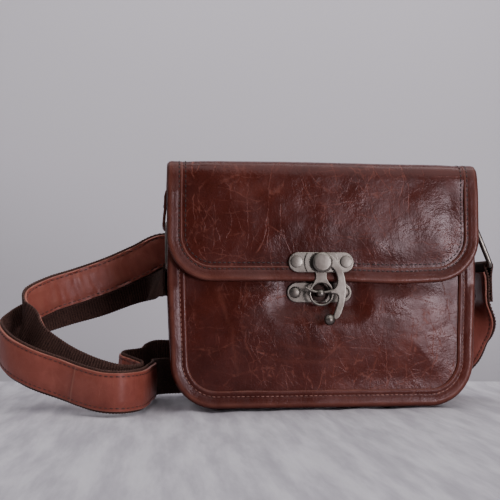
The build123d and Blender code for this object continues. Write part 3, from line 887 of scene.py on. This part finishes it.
class Metalwork:
    """Closed metal pieces that are gathered into one mesh."""

    def __init__(self):
        self.points = []
        self.faces = []
        self.wear_and_light = []

    def tube(self, rings, wear_and_light=None, closed=False):
        """A skin through rings of points, with each ring's wear and painted shade."""
        count = len(rings[0])
        self.faces += tube_faces(len(self.points), count, len(rings), closed)
        self.points += [point for ring in rings for point in ring]
        for row in range(len(rings)):
            self.wear_and_light += [wear_and_light[row] if wear_and_light else 0.0] * count

    def slab(self, shape, back, face, edge):
        """A flat plate with a rounded front edge: shape is its outline in X and Z."""
        count = len(shape)
        area = sum(shape[k - 1][0] * shape[k][1] - shape[k][0] * shape[k - 1][1] for k in range(count))
        sign = 1 if area > 0 else -1
        inward = []
        for k in range(count):
            (ax, az), (bx, bz) = shape[k - 1], shape[(k + 1) % count]
            length = math.hypot(bx - ax, bz - az)
            inward.append((sign * (az - bz) / length, sign * (bx - ax) / length))
        nick = 0.3 * edge
        # The back edge and the side wall are painted dark, as painted shade round the plate's outline
        levels = [(nick, back, -1.0), (0.0, back - nick, -1.0), (0.0, face + edge, -0.6)]
        levels += [(nick, face + nick, 1.0), (edge, face, 0.5), (1.6 * edge, face, 0.0)]
        rings = []
        for inset, y, _ in levels:
            ring = [Vector((x + inset * nx, y, z + inset * nz)) for (x, z), (nx, nz) in zip(shape, inward)]
            rings.append(ring)
        self.tube(rings, [wear_and_light_level for _, _, wear_and_light_level in levels])

    def turned(self, x, z, profile, shade_rings=0, sides=40):
        """A round piece along Y, from pairs of radius and Y. Its first rings may be painted near black as
        shade.
        """
        rings = []
        for radius, y in profile:
            turns = [2 * math.pi * k / sides for k in range(sides)]
            rings.append([Vector((x + radius * math.cos(t), y, z + radius * math.sin(t))) for t in turns])
        self.tube(rings, [-1.0 if k < shade_rings else 0.0 for k in range(len(rings))])

    def rod(self, x, y, z, reach, turns, girths, closed=False):
        """A rod bent along a circle about X and Z, with its half width and half depth at each turn."""
        rings = []
        for turn, (wide, deep) in zip(turns, girths):
            ring = []
            for k in range(12):
                roll = 2 * math.pi * k / 12
                away = reach + wide * math.cos(roll)
                px, pz = x + away * math.cos(turn), z + away * math.sin(turn)
                ring.append(Vector((px, y + deep * math.sin(roll), pz)))
            rings.append(ring)
        self.tube(rings, closed=closed)

    def ball(self, x, y, z, radius):
        turns = [math.pi * (0.04 + 0.92 * k / 18) for k in range(19)]
        self.turned(x, z, [(radius * math.sin(t), y + radius * math.cos(t)) for t in turns])

    def made(self, body, *nodes):
        piece = add_mesh(nodes[0], self.points, self.faces, ANTIQUE_METAL, self.wear_and_light)
        piece.data.set_sharp_from_angle(angle=math.radians(24))
        placed(piece, "antique_metal", body, *nodes)


def slot_shape(z):
    """The outline of a clasp plate: straight sides and round ends."""
    straight = PLATE_HALF_LENGTH - PLATE_HALF_HEIGHT
    shape = []
    for side in (1, -1):
        for k in range(25):
            turn = math.pi * (k / 24 - 0.5)
            x = side * (straight + PLATE_HALF_HEIGHT * math.cos(turn))
            shape.append((CLASP_X + x, z + side * PLATE_HALF_HEIGHT * math.sin(turn)))
    return shape


def rounded(corners, steps):
    """A smooth closed outline through corners."""
    shape = []
    count = len(corners)
    for i in range(count):
        a, b, c, d = (Vector(corners[(i + k) % count]) for k in (-1, 0, 1, 2))
        for k in range(steps):
            t = k / steps
            point = b * 2 + (c - a) * t + (a * 2 - b * 5 + c * 4 - d) * t**2
            point = (point + (b * 3 - a - c * 3 + d) * t**3) / 2
            shape.append((point.x, point.y))
    return shape


# Back and front faces of the clasp's layers, along Y
HASP_BACK = -41.6
HASP_FACE = -43.1
HUB_FACE = -43.8
HOOK_BACK = -44.2
HOOK_FACE = -46.0
CATCH_FACE = -36.5
# How rounded a plate's edge is, the radius of the hub and its half height, the radius and height of the
# eye, how far the spur and the rivets are from the pivot, and the ball's place from the pivot
PLATE_EDGE = 0.4
HUB = 10.7
HUB_HALF = 6.15
EYE = 7.0
EYE_Z = POST_Z - 0.7
SWING = PIVOT_Z - POST_Z
RIVET_X = 15.4
BALL = (4.4, -35.1)
# The hook's outline from its pivot, in X and Z
CRESCENT = [
    (0.8, 5.5), (4.2, 5.1), (6.6, 3.9), (9.6, 0.7), (12.6, -4.4), (14.3, -10.2), (14.8, -16.4),
    (14.5, -20.8), (13.6, -25.4), (12.3, -29.6), (10.8, -33.0), (8.6, -34.8), (6.6, -33.9),
    (7.3, -31.4), (8.7, -27.4), (9.7, -23.8), (9.9, -20.9), (8.9, -19.5), (7.2, -19.0), (5.4, -18.9),
    (5.3, -17.5), (7.6, -16.1), (9.1, -13.7), (9.5, -10.6), (8.7, -6.9), (7.0, -4.0), (5.0, -2.9),
    (1.5, -4.2),
]


def hasp():
    """The flap's plate with its hub, its flared neck and the eye that goes over the post."""
    plated = Metalwork()
    plated.slab(slot_shape(PIVOT_Z), HASP_BACK, HASP_FACE, PLATE_EDGE)
    hub = []
    for side in (HUB, -HUB):
        for k in range(25):
            turn = math.asin(HUB_HALF / HUB) * (2 * k / 24 - 1)
            hub.append((CLASP_X + side * math.cos(turn), PIVOT_Z + side * math.sin(turn)))
    plated.slab(hub, HASP_FACE + 0.2, HUB_FACE, 0.35)
    neck = [(-3.8, -5.4), (-3.5, -8.0), (-3.6, -9.8), (-4.7, -12.2), (-6.3, -14.4), (-7.4, -16.4)]
    for k in range(13):
        turn = math.pi * (5 - 4 * k / 12) / 6
        neck.append(((EYE - 0.4) * math.cos(turn), EYE_Z - PIVOT_Z + (EYE - 0.4) * math.sin(turn)))
    neck += [(7.4, -16.4), (6.3, -14.4), (4.7, -12.2), (3.4, -9.8), (3.3, -8.0), (3.6, -5.4)]
    shape = [(CLASP_X + x, PIVOT_Z + z) for x, z in neck]
    plated.slab(shape, HASP_BACK, HASP_FACE, 0.35)
    turns = [2 * math.pi * k / 64 for k in range(64)]
    plated.rod(CLASP_X, (HASP_BACK + HASP_FACE) / 2, EYE_Z, EYE, turns, [(0.82, 0.8)] * 64, True)
    plated.made("flap", "hasp_plate")


def plate_rivets():
    """The flat rivets of the flap's plate and the domed ones of the plate below it."""
    flat, domed = Metalwork(), Metalwork()
    for side in (-1, 1):
        x = CLASP_X + side * RIVET_X
        # The shanks and the rims under the rivets' heads are painted near black, as painted shade
        shank = [(1.4, -37.0), (1.4, -42.9), (3.7, -43.0), (3.75, -43.5), (3.5, -43.85), (2.9, -43.95)]
        flat.turned(x, PIVOT_Z + 0.5, shank + [(0.4, -44.0)], 3)
        dome = [(1.4, -33.2), (1.4, -36.3), (3.6, -36.4), (3.6, -36.7), (3.3, -37.1), (2.6, -37.5)]
        domed.turned(x, POST_Z, dome + [(1.6, -37.75), (0.4, -37.85)], 3)
    flat.made("flap", "hasp_rivets")
    domed.made("bag", "catch_rivets")


def swing_hook():
    """The crescent with its ball, and the curved spur that goes through the post."""
    plated = Metalwork()
    shape = [(CLASP_X + x, PIVOT_Z + z) for x, z in rounded(CRESCENT, 4)]
    plated.slab(shape, HOOK_BACK, HOOK_FACE, 0.45)
    middle = (HOOK_BACK + HOOK_FACE) / 2
    turns = [math.radians(292 - 56 * k / 32) for k in range(33)]
    girths = [(0.86 - 0.2 * smooth(26, 32, k),) * 2 for k in range(33)]
    plated.rod(CLASP_X, middle, PIVOT_Z, SWING, turns, girths)
    plated.ball(CLASP_X + BALL[0], middle - 0.6, PIVOT_Z + BALL[1], 3.45)
    plated.made("hook", "swing_hook")


def pivot_button():
    plated = Metalwork()
    pin = [(1.8, -36.7), (1.8, -46.3), (6.2, -46.4), (6.3, -46.9), (6.0, -47.4)]
    pin += [(5.2, -47.75), (4.9, -47.95), (4.5, -48.0), (0.5, -48.0)]
    # The pin and the rim under the button are painted near black, as painted shade
    plated.turned(CLASP_X, PIVOT_Z, pin, 4, 48)
    plated.made("flap", "pivot_pin")


def catch_plate():
    plated = Metalwork()
    plated.slab(slot_shape(POST_Z), FRONT, CATCH_FACE, PLATE_EDGE)
    # A thin disc round the post, painted near black all over: painted shade inside the eye
    shade_rings = [(5.9, 0.3), (5.9, -0.1), (5.4, -0.2), (0.4, -0.2)]
    plated.turned(CLASP_X, POST_Z, [(radius, CATCH_FACE + y) for radius, y in shade_rings], 4)
    plated.made("bag", "catch_plate")


def catch_post():
    plated = Metalwork()
    x, z = CLASP_X - 0.9, POST_Z - 0.6
    # The post's stem is painted near black, as painted shade under its ball
    plated.turned(x, z, [(2.3, CATCH_FACE + 0.4), (2.3, -38.0), (1.9, -39.0), (1.9, -44.0)], 4)
    plated.ball(x, -45.1, z, 2.5)
    plated.made("bag", "catch_post")


hasp()
plate_rivets()
swing_hook()
pivot_button()
catch_plate()
catch_post()
for node in ("left_ring", "right_ring"):
    finished(node)


# ---- tabs


def ribbon(name, path):
    """The leather strip of a tab: path is its middle in X and Z, and it is wide along Y."""
    half = TAB_HALF
    lower = [(-half, -0.45), (0.4 - half, -1.0), (-half / 2, -1.05), (0.0, -1.05)]
    lower += [(-y, level) for y, level in reversed(lower[:3])]
    shape = lower + [(y, -level) for y, level in reversed(lower)]
    rings = []
    for k, (x, z) in enumerate(path):
        before = path[max(k - 1, 0)]
        after = path[min(k + 1, len(path) - 1)]
        along = Vector((after[0] - before[0], after[1] - before[1])).normalized()
        out = Vector((along.y, -along.x)) * TAB_LEATHER / 2
        rings.append([Vector((x + out.x * level, y, z + out.y * level)) for y, level in shape])
    wear_and_light = [[0.7 if abs(level) < 0.5 else 0.0 for _, level in shape] for _ in rings]
    return swept(name, rings, BINDING_LEATHER, wear_and_light)


def tab(side, pivot, stand):
    """A leather tab sewn to the gusset and folded round the ring's top bar, its outer layer bulging out."""
    bar_x, bar_z = pivot
    sign = 1 if bar_x > 0 else -1
    reach = WIRE + 0.1 + TAB_LEATHER / 2
    inner = sign * (GUSSET_FACE + 0.5 * TAB_LEATHER)
    outer = sign * (GUSSET_FACE + 1.5 * TAB_LEATHER)
    down, up = (139.0, 136.0, 132.0, 128.0, 125.0), (126.0, 129.0, 133.0, 136.0, 138.0, 139.2)
    path = [(inner + sign * 0.6 * stand * smooth(0, 6, 140 - z), z) for z in down]
    path.append((inner + (bar_x - sign * reach - inner) * 0.5, (125 + bar_z) / 2 + 0.4))
    for k in range(17):
        turn = math.pi * (1 + k / 16)
        path.append((bar_x + sign * reach * math.cos(turn), bar_z + reach * math.sin(turn)))
    path.append((outer + (bar_x + sign * (reach + stand) - outer) * 0.5, (125 + bar_z) / 2 + 1.6))
    path += [(outer + sign * stand * smooth(0, 6, 140 - z), z) for z in up]
    placed(ribbon(side + "_tab", path), "body_leather", "bag", side + "_tab")
    face = sign * (GUSSET_FACE + 2 * TAB_LEATHER + 0.1)
    out = Vector((sign, 0, 0))
    corners = [(-8.6, 127.5), (-8.6, 137.2), (8.6, 137.2), (8.6, 127.5), (-8.6, 127.5)]
    line = [(Vector((face + sign * stand * smooth(0, 6, 140 - z), y, z)), out) for y, z in corners]
    placed(dark_stitches(side + "_tab_stitches", line), "body_leather", "bag")


tab("left", LEFT_PIVOT, 2.8)
tab("right", RIGHT_PIVOT, 0.0)

# ---- strap

# The same stations as the CAD strap: its middle and a vector across it, which is upright along most of
# it. The webbing lies on one side of this line and the leather facing on the other.
UPRIGHT = (0, 0, 1)
STRAP_UPRIGHT = [
    (86.0, 47, 18), (58.0, 51, 25), (20.0, 52, 40), (-20.0, 53, 59), (-62.0, 54, 80), (-84.0, 55, 95),
    (-99.0, 54, 101.5), (-117.0, 50, 93), (-136.0, 44, 84), (-157.0, 37, 76), (-174.0, 28, 70),
    (-186.0, 16, 63), (-188.0, 4, 56), (-182.0, -4, 47), (-175.0, -12, 37), (-164.0, -18, 29),
    (-150.0, -24, 22), (-136.0, -28, 17), (-124.0, -28, 14.5), (-115.0, -21, 14.5), (-114.0, -10, 15.5),
    (-120.0, 1, 17), (-127.0, 12, 19), (-125.0, 24, 20), (-115.0, 30, 21), (-112.0, 41, 23),
    (-105.0, 52, 25), (-93.0, 57, 24), (-82.0, 57, 19), (-78.5, 50, 15), (-86.0, 43.5, 13.3),
    (-98.0, 41.5, 13), (-105.5, 33, 13), (-105.5, 20, 13), (-106.5, 6, 13), (-108.5, -9, 13),
    (-110.0, -25, 13), (-114.0, -42, 13), (-124.0, -52.5, 13), (-136.0, -50, 13.5), (-148.5, -42, 16),
    (-161.0, -33, 19.5), (-180.0, -25, 25.5), (-195.5, -12, 32.5), (-204.0, 7, 40), (-200.0, 22, 46),
    (-188.0, 35, 53.5), (-168.0, 46, 60.5), (-148.0, 53, 66), (-126.0, 59, 73),
]
STRAP = [
    ((117.1, 0, 61.2), (0, 1, 0)), ((116.8, 3, 51), (-0.5, 0.9, 0)),
    ((112.6, 9, 39.5), (-0.9, 0.4, 0.1)), ((108.4, 20, 28.5), (-0.8, 0.3, 0.5)),
    ((103.0, 35, 21), (-0.2, 0.3, 0.9)),
    *[(place, UPRIGHT) for place in STRAP_UPRIGHT],
    ((-111.0, 61, 76), (0.3, 0, 1)), ((-103.5, 54, 76.5), (0.7, 0, 1)),
    ((-101.6, 41, 75), (0.25, -0.2, 1)), ((-101.0, 26, 72), (0, -0.25, 1)),
]


def line_at(stations, at):
    """The middle and cross vector at a place along the stations, on a Catmull-Rom curve."""
    last = len(stations) - 1
    i = min(int(at), last - 1)
    t = at - i
    picked = [stations[min(max(i + k, 0), last)] for k in (-1, 0, 1, 2)]
    weights = (
        (-t + 2 * t * t - t**3) / 2,
        (2 - 5 * t * t + 3 * t**3) / 2,
        (t + 4 * t * t - 3 * t**3) / 2,
        (t**3 - t * t) / 2,
    )
    middle = Vector((0, 0, 0))
    across = Vector((0, 0, 0))
    for weight, (place, cross) in zip(weights, picked):
        middle += Vector(place) * weight
        across += Vector(cross) * weight
    return middle, across


def section(stations, at):
    """The middle, the unit cross vector and the unit normal of the strap's face."""
    middle, across = line_at(stations, at)
    ahead = line_at(stations, min(at + 0.05, len(stations) - 1))[0]
    behind = line_at(stations, max(at - 0.05, 0))[0]
    along = (ahead - behind).normalized()
    across = (across - along * across.dot(along)).normalized()
    return middle, across, along.cross(across)


def evenly(stations, first, last, step):
    """Places along the stations that are an even step apart, each with its distance from first."""
    parts = round((last - first) * 50)
    ats = [first + (last - first) * k / parts for k in range(parts + 1)]
    middles = [line_at(stations, at)[0] for at in ats]
    total = sum((b - a).length for a, b in zip(middles, middles[1:]))
    count = max(round(total / step), 2)
    places = [(first, 0.0)]
    done, target = 0.0, total / count
    for k in range(parts):
        length = (middles[k + 1] - middles[k]).length
        while done + length >= target and len(places) < count:
            t = (target - done) / length
            places.append((ats[k] + (ats[k + 1] - ats[k]) * t, target))
            target = total * len(places) / count
        done += length
    places.append((last, total))
    return places


# The webbing's section: across it, and out from the strap's line
WEBBING_SHAPE = [
    (-12.5, 0.5), (-12.3, 0.15), (-11.7, 0.0), (-6.0, 0.0), (6.0, 0.0), (11.7, 0.0), (12.3, 0.15),
    (12.5, 0.5), (12.5, 1.0), (12.3, 1.35), (11.7, 1.5), (9.4, 1.55), (5.0, 1.5), (0.0, 1.5),
    (-5.0, 1.5), (-9.4, 1.55), (-11.7, 1.5), (-12.3, 1.35), (-12.5, 1.0),
]
# The facing's section, on the line's other side, with its wear
FACING_SHAPE = [
    (-11.0, 0.0, 1.0), (11.0, 0.0, 1.0), (11.15, -0.8, 1.0), (11.05, -1.2, 0.8), (10.4, -1.5, 0.0),
    (9.2, -1.2, 0.0), (8.2, -1.5, 0.0), (4.5, -1.7, 0.0), (0.0, -1.75, 0.0), (-4.5, -1.7, 0.0),
    (-8.2, -1.5, 0.0), (-9.2, -1.2, 0.0), (-10.4, -1.5, 0.0), (-11.05, -1.2, 0.8), (-11.15, -0.8, 1.0),
]
FACING_GROOVE = 9.2


def webbing(name, stations, first, last, tuck=0.0):
    """Ribbed webbing from one station to another. Its lower half may end narrower, by tuck."""
    rings, wear_and_light = [], []
    for at, run in evenly(stations, first, last, RIB_PITCH / 5):
        middle, across, normal = section(stations, at)
        rib = math.sin(2 * math.pi * run / RIB_PITCH)
        ring, values = [], []
        for a, n in WEBBING_SHAPE:
            outside = n > 1.2
            if outside:
                n += 0.3 * rib
            if abs(a) > 12:
                a *= 1 + 0.012 * rib
            if a < 0:
                a *= 1 - tuck * smooth(last - 2, last, at)
            ring.append(middle + across * a + normal * n)
            # Rib crests and edges are painted paler: wear, with a painted highlight on the ribs
            values.append(max(rib, 0) if outside or abs(a) > 12 else 0.0)
        rings.append(ring)
        wear_and_light.append(values)
    return swept(name, rings, WEBBING_CLOTH, wear_and_light)


def facing(name, stations, first, last, wrinkles, seam=None, tuck=0.0):
    """The strap's leather face from one station to another, with a row of stitches along each edge.

    At a seam one length of leather laps over the next. The lower half may end narrower, by tuck.
    """
    rings, wear_and_light = [], []
    rows = {1: [], -1: []}
    for k, (at, run) in enumerate(evenly(stations, first, last, STRAP_STITCH_PITCH / 3)):
        middle, across, normal = section(stations, at)
        puckered = pucker(k, 3)
        ring, values = [], []
        narrowed = 1 - tuck * smooth(last - 2, last, at)
        lap = 0.4 if seam and at < seam else 0.0
        lapping = 0.9 if seam and abs(at - seam) < 0.04 else 0.0
        for a, n, wear_and_light_level in FACING_SHAPE:
            crumple = wrinkles * lumps((run, a * 0.35, first * 9), 3.6, 41)
            crumple += 0.15 * lumps((run, a, 0), 14, 42)
            if n < -1.1:
                n -= lap
                wear_and_light_level = max(wear_and_light_level, lapping)
            if abs(a) == FACING_GROOVE:
                n += 0.18 * puckered
            if n < -1.3:
                n -= crumple
            if a < 0:
                a *= narrowed
            ring.append(middle + across * a + normal * n)
            # Raised crumples are painted paler on top of the worn edges: a painted highlight on the
            # wrinkles' crests
            values.append(wear_and_light_level + max(crumple, 0) * 0.6 * (abs(a) < 9))
        rings.append(ring)
        wear_and_light.append(values)
        for side, row in rows.items():
            reach = side * FACING_GROOVE * (narrowed if side < 0 else 1)
            row.append((middle + across * reach - normal * (1.35 + lap), -normal))
    made = swept(name, rings, STRAP_LEATHER, wear_and_light)
    seats = [seat for row in rows.values() for seat in spaced(row, STRAP_STITCH_PITCH)]
    return made, stitches(name + "_stitches", seats, 2.3, 0.32, STRAP_THREAD)


def bar_wrap(bar, degrees):
    """A place on the webbing's outside where it goes round a ring's bar, seen from the front."""
    reach = WIRE + 0.1 + WEBBING
    turn = math.radians(degrees)
    return (bar[0] + reach * math.cos(turn), 0, bar[1] + reach * math.sin(turn))


FLAT = (0, 1, 0)
RIGHT_END = [
    ((118.5, 0, 65.0), FLAT), ((118.2, 0, 73.5), FLAT), ((118.2, 0, 82.0), FLAT),
    *[(bar_wrap(RIGHT_BAR, degrees), FLAT) for degrees in (0, 50, 100, 150, 200)],
    ((114.6, 0, 81.5), FLAT), ((115.0, 0, 73.5), FLAT), ((115.4, 0, 65.0), FLAT),
]
# Below the ring the strap turns to go down behind the bag
RIGHT_TURN = [((113.4, 2.5, 51.5), (-0.75, 0.65, 0)), ((110.2, 8.0, 40.5), (-0.95, 0.28, 0.1))]
RIGHT_LINE = RIGHT_END + RIGHT_TURN + STRAP[3:9]


def right_strap():
    """The webbing and its facing from the ring's bar down beside the bag and behind it."""
    last = len(RIGHT_LINE) - 1
    web = webbing("right_webbing", RIGHT_LINE, 0, last)
    face, sewn = facing("right_facing", RIGHT_LINE, RIGHT_TOP, last, 0.2)
    named(web, "webbing", "right_strap_end", "webbing_right_run", "webbing_back_run")
    named(face, "strap_leather", "right_end_facing", "facing_right_run", "facing_back_run")
    named(sewn, "strap_leather")
    for piece in (web, face, sewn):
        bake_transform(piece)


def strap_loops():
    """The two loops beside the bag and the bunch of folds between them."""
    runs = ("inner_far", "inner_near", "folds", "back_fold", "outer_near", "outer_far")
    web = webbing("loop_webbing", STRAP, LOOPS_START, LEFT_START, TUCK)
    placed(web, "webbing", "bag", *["webbing_" + run for run in runs])
    inner, inner_stitches = facing("inner_facing", STRAP, LOOPS_START, INNER_END, 0.8)
    placed(inner, "strap_leather", "bag", "facing_inner_far", "facing_inner_near", "facing_folds")
    placed(inner_stitches, "strap_leather", "bag")
    outer, outer_stitches = facing("outer_facing", STRAP, OUTER_START, LEFT_START, 0.12, SEAM, TUCK)
    placed(outer, "strap_leather", "bag", "facing_outer_near", "facing_outer_far")
    placed(outer_stitches, "strap_leather", "bag")


def left_path(half):
    """Middles and cross vectors of the left end.

    It goes along the strap's last stations, forward beside the bag, upward, round the bar and down again.
    """
    path = []
    for k in range(17):
        middle, cross, normal = section(STRAP, LEFT_START + 2.2 * k / 16)
        path.append((middle + normal * half, cross))
    forward = ((-100.4, 35.0, -0.12), (-99.3, 31.0, -0.08), (-98.4, 27.0, -0.04), (-97.9, 22.0, 0.0))
    for x, y, lean in forward:
        path.append((Vector((x, y, LEFT_TOP - LEFT_TURN + 0.07 * (y - 14))), Vector((0.1, lean, 1))))
    for k in range(13):
        turn = math.pi / 2 * k / 12
        out = Vector((0, math.sin(turn), math.cos(turn)))
        x = -97.8 - 1.8 * smooth(0.2, 1.4, turn)
        path.append((Vector((x, LEFT_TURN, LEFT_TOP)) - out * LEFT_TURN, out))
    around = WIRE + 0.1 + half
    for k in range(13):
        turn = math.pi * (1 - 1.15 * k / 12)
        x = LEFT_BAR[0] + around * math.cos(turn)
        path.append((Vector((x, 0, LEFT_BAR[1] + around * math.sin(turn))), Vector(FLAT)))
    for k in range(1, 6):
        path.append((Vector((-95.6 - 1.2 * smooth(0, 2.5, k), 0, 84.5 - 2.3 * k)), Vector(FLAT)))
    return path


def left_strap():
    """The webbing that comes forward beside the bag, turns upward and goes round the left ring's bar.

    Its lower half gathers to a quarter of its width where it turns.
    """
    columns = 14
    half = WEBBING / 2
    path = left_path(half)
    last = len(path) - 1
    grid = []
    for c in range(columns + 1):
        across = 2 * c / columns - 1
        line = []
        for k, (middle, cross) in enumerate(path):
            rippled = smooth(15, 20, k) * (1 - smooth(30, 34, k)) * smooth(-0.6, 1, across)
            gathered = 0.75 * smooth(8, 21, k) * (1 - smooth(23.5, 29, k))
            reach = WEBBING_HALF
            if across < 0:
                reach *= 1 - TUCK * (1 - smooth(0, 5, k)) - gathered
            ripple = Vector((0.45 * math.sin(2.1 * k) * rippled, 0, 0))
            line.append(middle + cross.normalized() * across * reach + ripple)
        grid.append(line)

    def faces_at(c, k):
        along = grid[c][min(k + 1, last)] - grid[c][max(k - 1, 0)]
        across = grid[min(c + 1, columns)][k] - grid[max(c - 1, 0)][k]
        out = along.cross(across).normalized() * half
        return grid[c][k] + out, grid[c][k] - out

    places = [[(c, k) for k in range(last + 1)] for c in range(columns + 1)]
    made = layered("left_webbing", places, faces_at, WEBBING_CLOTH)
    named(made, "webbing", "left_strap_end", "webbing_left_fold")
    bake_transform(made)


right_strap()
strap_loops()
left_strap()

# ---- stage, light and camera


def floor():
    """A pale cloth over a table, folded down along its front and back edges."""
    near, far, radius, drop = -0.45, 0.118, 0.010, 0.5
    turns = [math.pi / 16 * k for k in range(9)]
    fold = [(radius * math.sin(turn), radius * (math.cos(turn) - 1)) for turn in turns]
    profile = [(near - radius, -drop)]
    profile += [(near - y, z) for y, z in reversed(fold)]
    profile += [(near + (far - near) * k / 48, 0.0) for k in range(1, 48)]
    profile += [(far + y, z) for y, z in fold]
    profile.append((far + radius, -drop))
    columns = 400
    turned = Matrix.Rotation(math.radians(-6.1), 3, "Z")
    points = []
    for y, z in profile:
        for c in range(columns + 1):
            x = -1.2 + 2.4 * c / columns
            ripple = 0.0012 * lumps((x, y * 0.35, 0), 0.05, 51) if z < 0 else 0.0
            streak = 0.0016 * (lumps((x, y * 0.12, 0), 0.016, 52) - 1) if near < y < far else 0.0
            points.append(turned @ Vector((x, y + ripple, z + streak)) / MM)
    surface = Surface("floor_cloth")
    weave = surface.noise(900.0, 2.0)
    soft = surface.noise(22.0, 4.0, 0.6, surface.stretched((4.0, 0.6, 1.0)))
    colour = surface.mix(surface.spread(soft, 0.3, 0.7), (0.34, 0.32, 0.36), (0.50, 0.48, 0.52))
    bumped = surface.bump(weave, 0.0003, 0.4)
    creased = surface.noise(30.0, 3.0, 0.5, surface.stretched((2.0, 0.5, 1.0)))
    bumped = surface.bump(creased, 0.004, 0.4, bumped)
    surface.set(Base_Color=colour, Roughness=0.9, Normal=bumped)
    faces = grid_faces(len(profile), columns + 1)
    add_mesh("floor", points, faces, surface.material)


def backdrop():
    """A plain grey wall some way behind the table."""
    points = [(-4000, 900, -2500), (4000, 900, -2500), (4000, 900, 3500), (-4000, 900, 3500)]
    surface = Surface("backdrop")
    soft = surface.noise(1.3, 2.0)
    colour = surface.mix(surface.spread(soft, 0.3, 0.7), (0.580, 0.553, 0.600), (0.635, 0.607, 0.655))
    surface.set(Base_Color=colour, Roughness=1.0, Specular_IOR_Level=0.0)
    add_mesh("backdrop", points, [(0, 1, 2, 3)], surface.material)


def area_light(name, place, target, width, height, power, colour):
    light = bpy.data.lights.new(name, "AREA")
    light.shape = "RECTANGLE"
    light.size = width
    light.size_y = height
    light.energy = power
    light.color = colour
    holder = bpy.data.objects.new(name, light)
    holder.location = place
    aim = Vector(target) - Vector(place)
    holder.rotation_euler = aim.to_track_quat("-Z", "Y").to_euler()
    bpy.context.scene.collection.objects.link(holder)


def lighting():
    area_light("window", (0.64, -1.20, 0.09), (0.05, 0, 0.08), 0.44, 0.27, 9.4, (1.0, 0.94, 1.0))
    area_light("soft_box", (0.75, -0.95, 1.6), (0.0, 0, 0.08), 2.2, 2.2, 34.5, (1.0, 0.985, 0.985))
    area_light("fill", (-1.2, -0.5, 1.4), (-0.05, 0, 0.08), 2.0, 2.0, 8.0, (0.98, 0.98, 1.0))
    area_light("wall", (0.0, 0.15, 1.5), (0.0, 0.9, -0.35), 2.8, 0.6, 15.0, (1.0, 0.985, 1.0))
    world = bpy.data.worlds.new("soft_room")
    world.use_nodes = True
    world.node_tree.nodes["Background"].inputs["Color"].default_value = (0.80, 0.78, 0.82, 1)
    world.node_tree.nodes["Background"].inputs["Strength"].default_value = 0.06
    bpy.context.scene.world = world


def camera():
    lens = bpy.data.cameras.new("camera")
    lens.lens = 59.76
    lens.sensor_width = 36.0
    lens.clip_start = 0.01
    holder = bpy.data.objects.new("camera", lens)
    holder.location = (-0.1011, -0.5450, 0.0705)
    holder.rotation_euler = (math.radians(93.0), 0.0, math.radians(-6.1))
    bpy.context.scene.collection.objects.link(holder)
    bpy.context.scene.camera = holder


floor()
backdrop()
lighting()
camera()

bpy.context.view_layer.update()
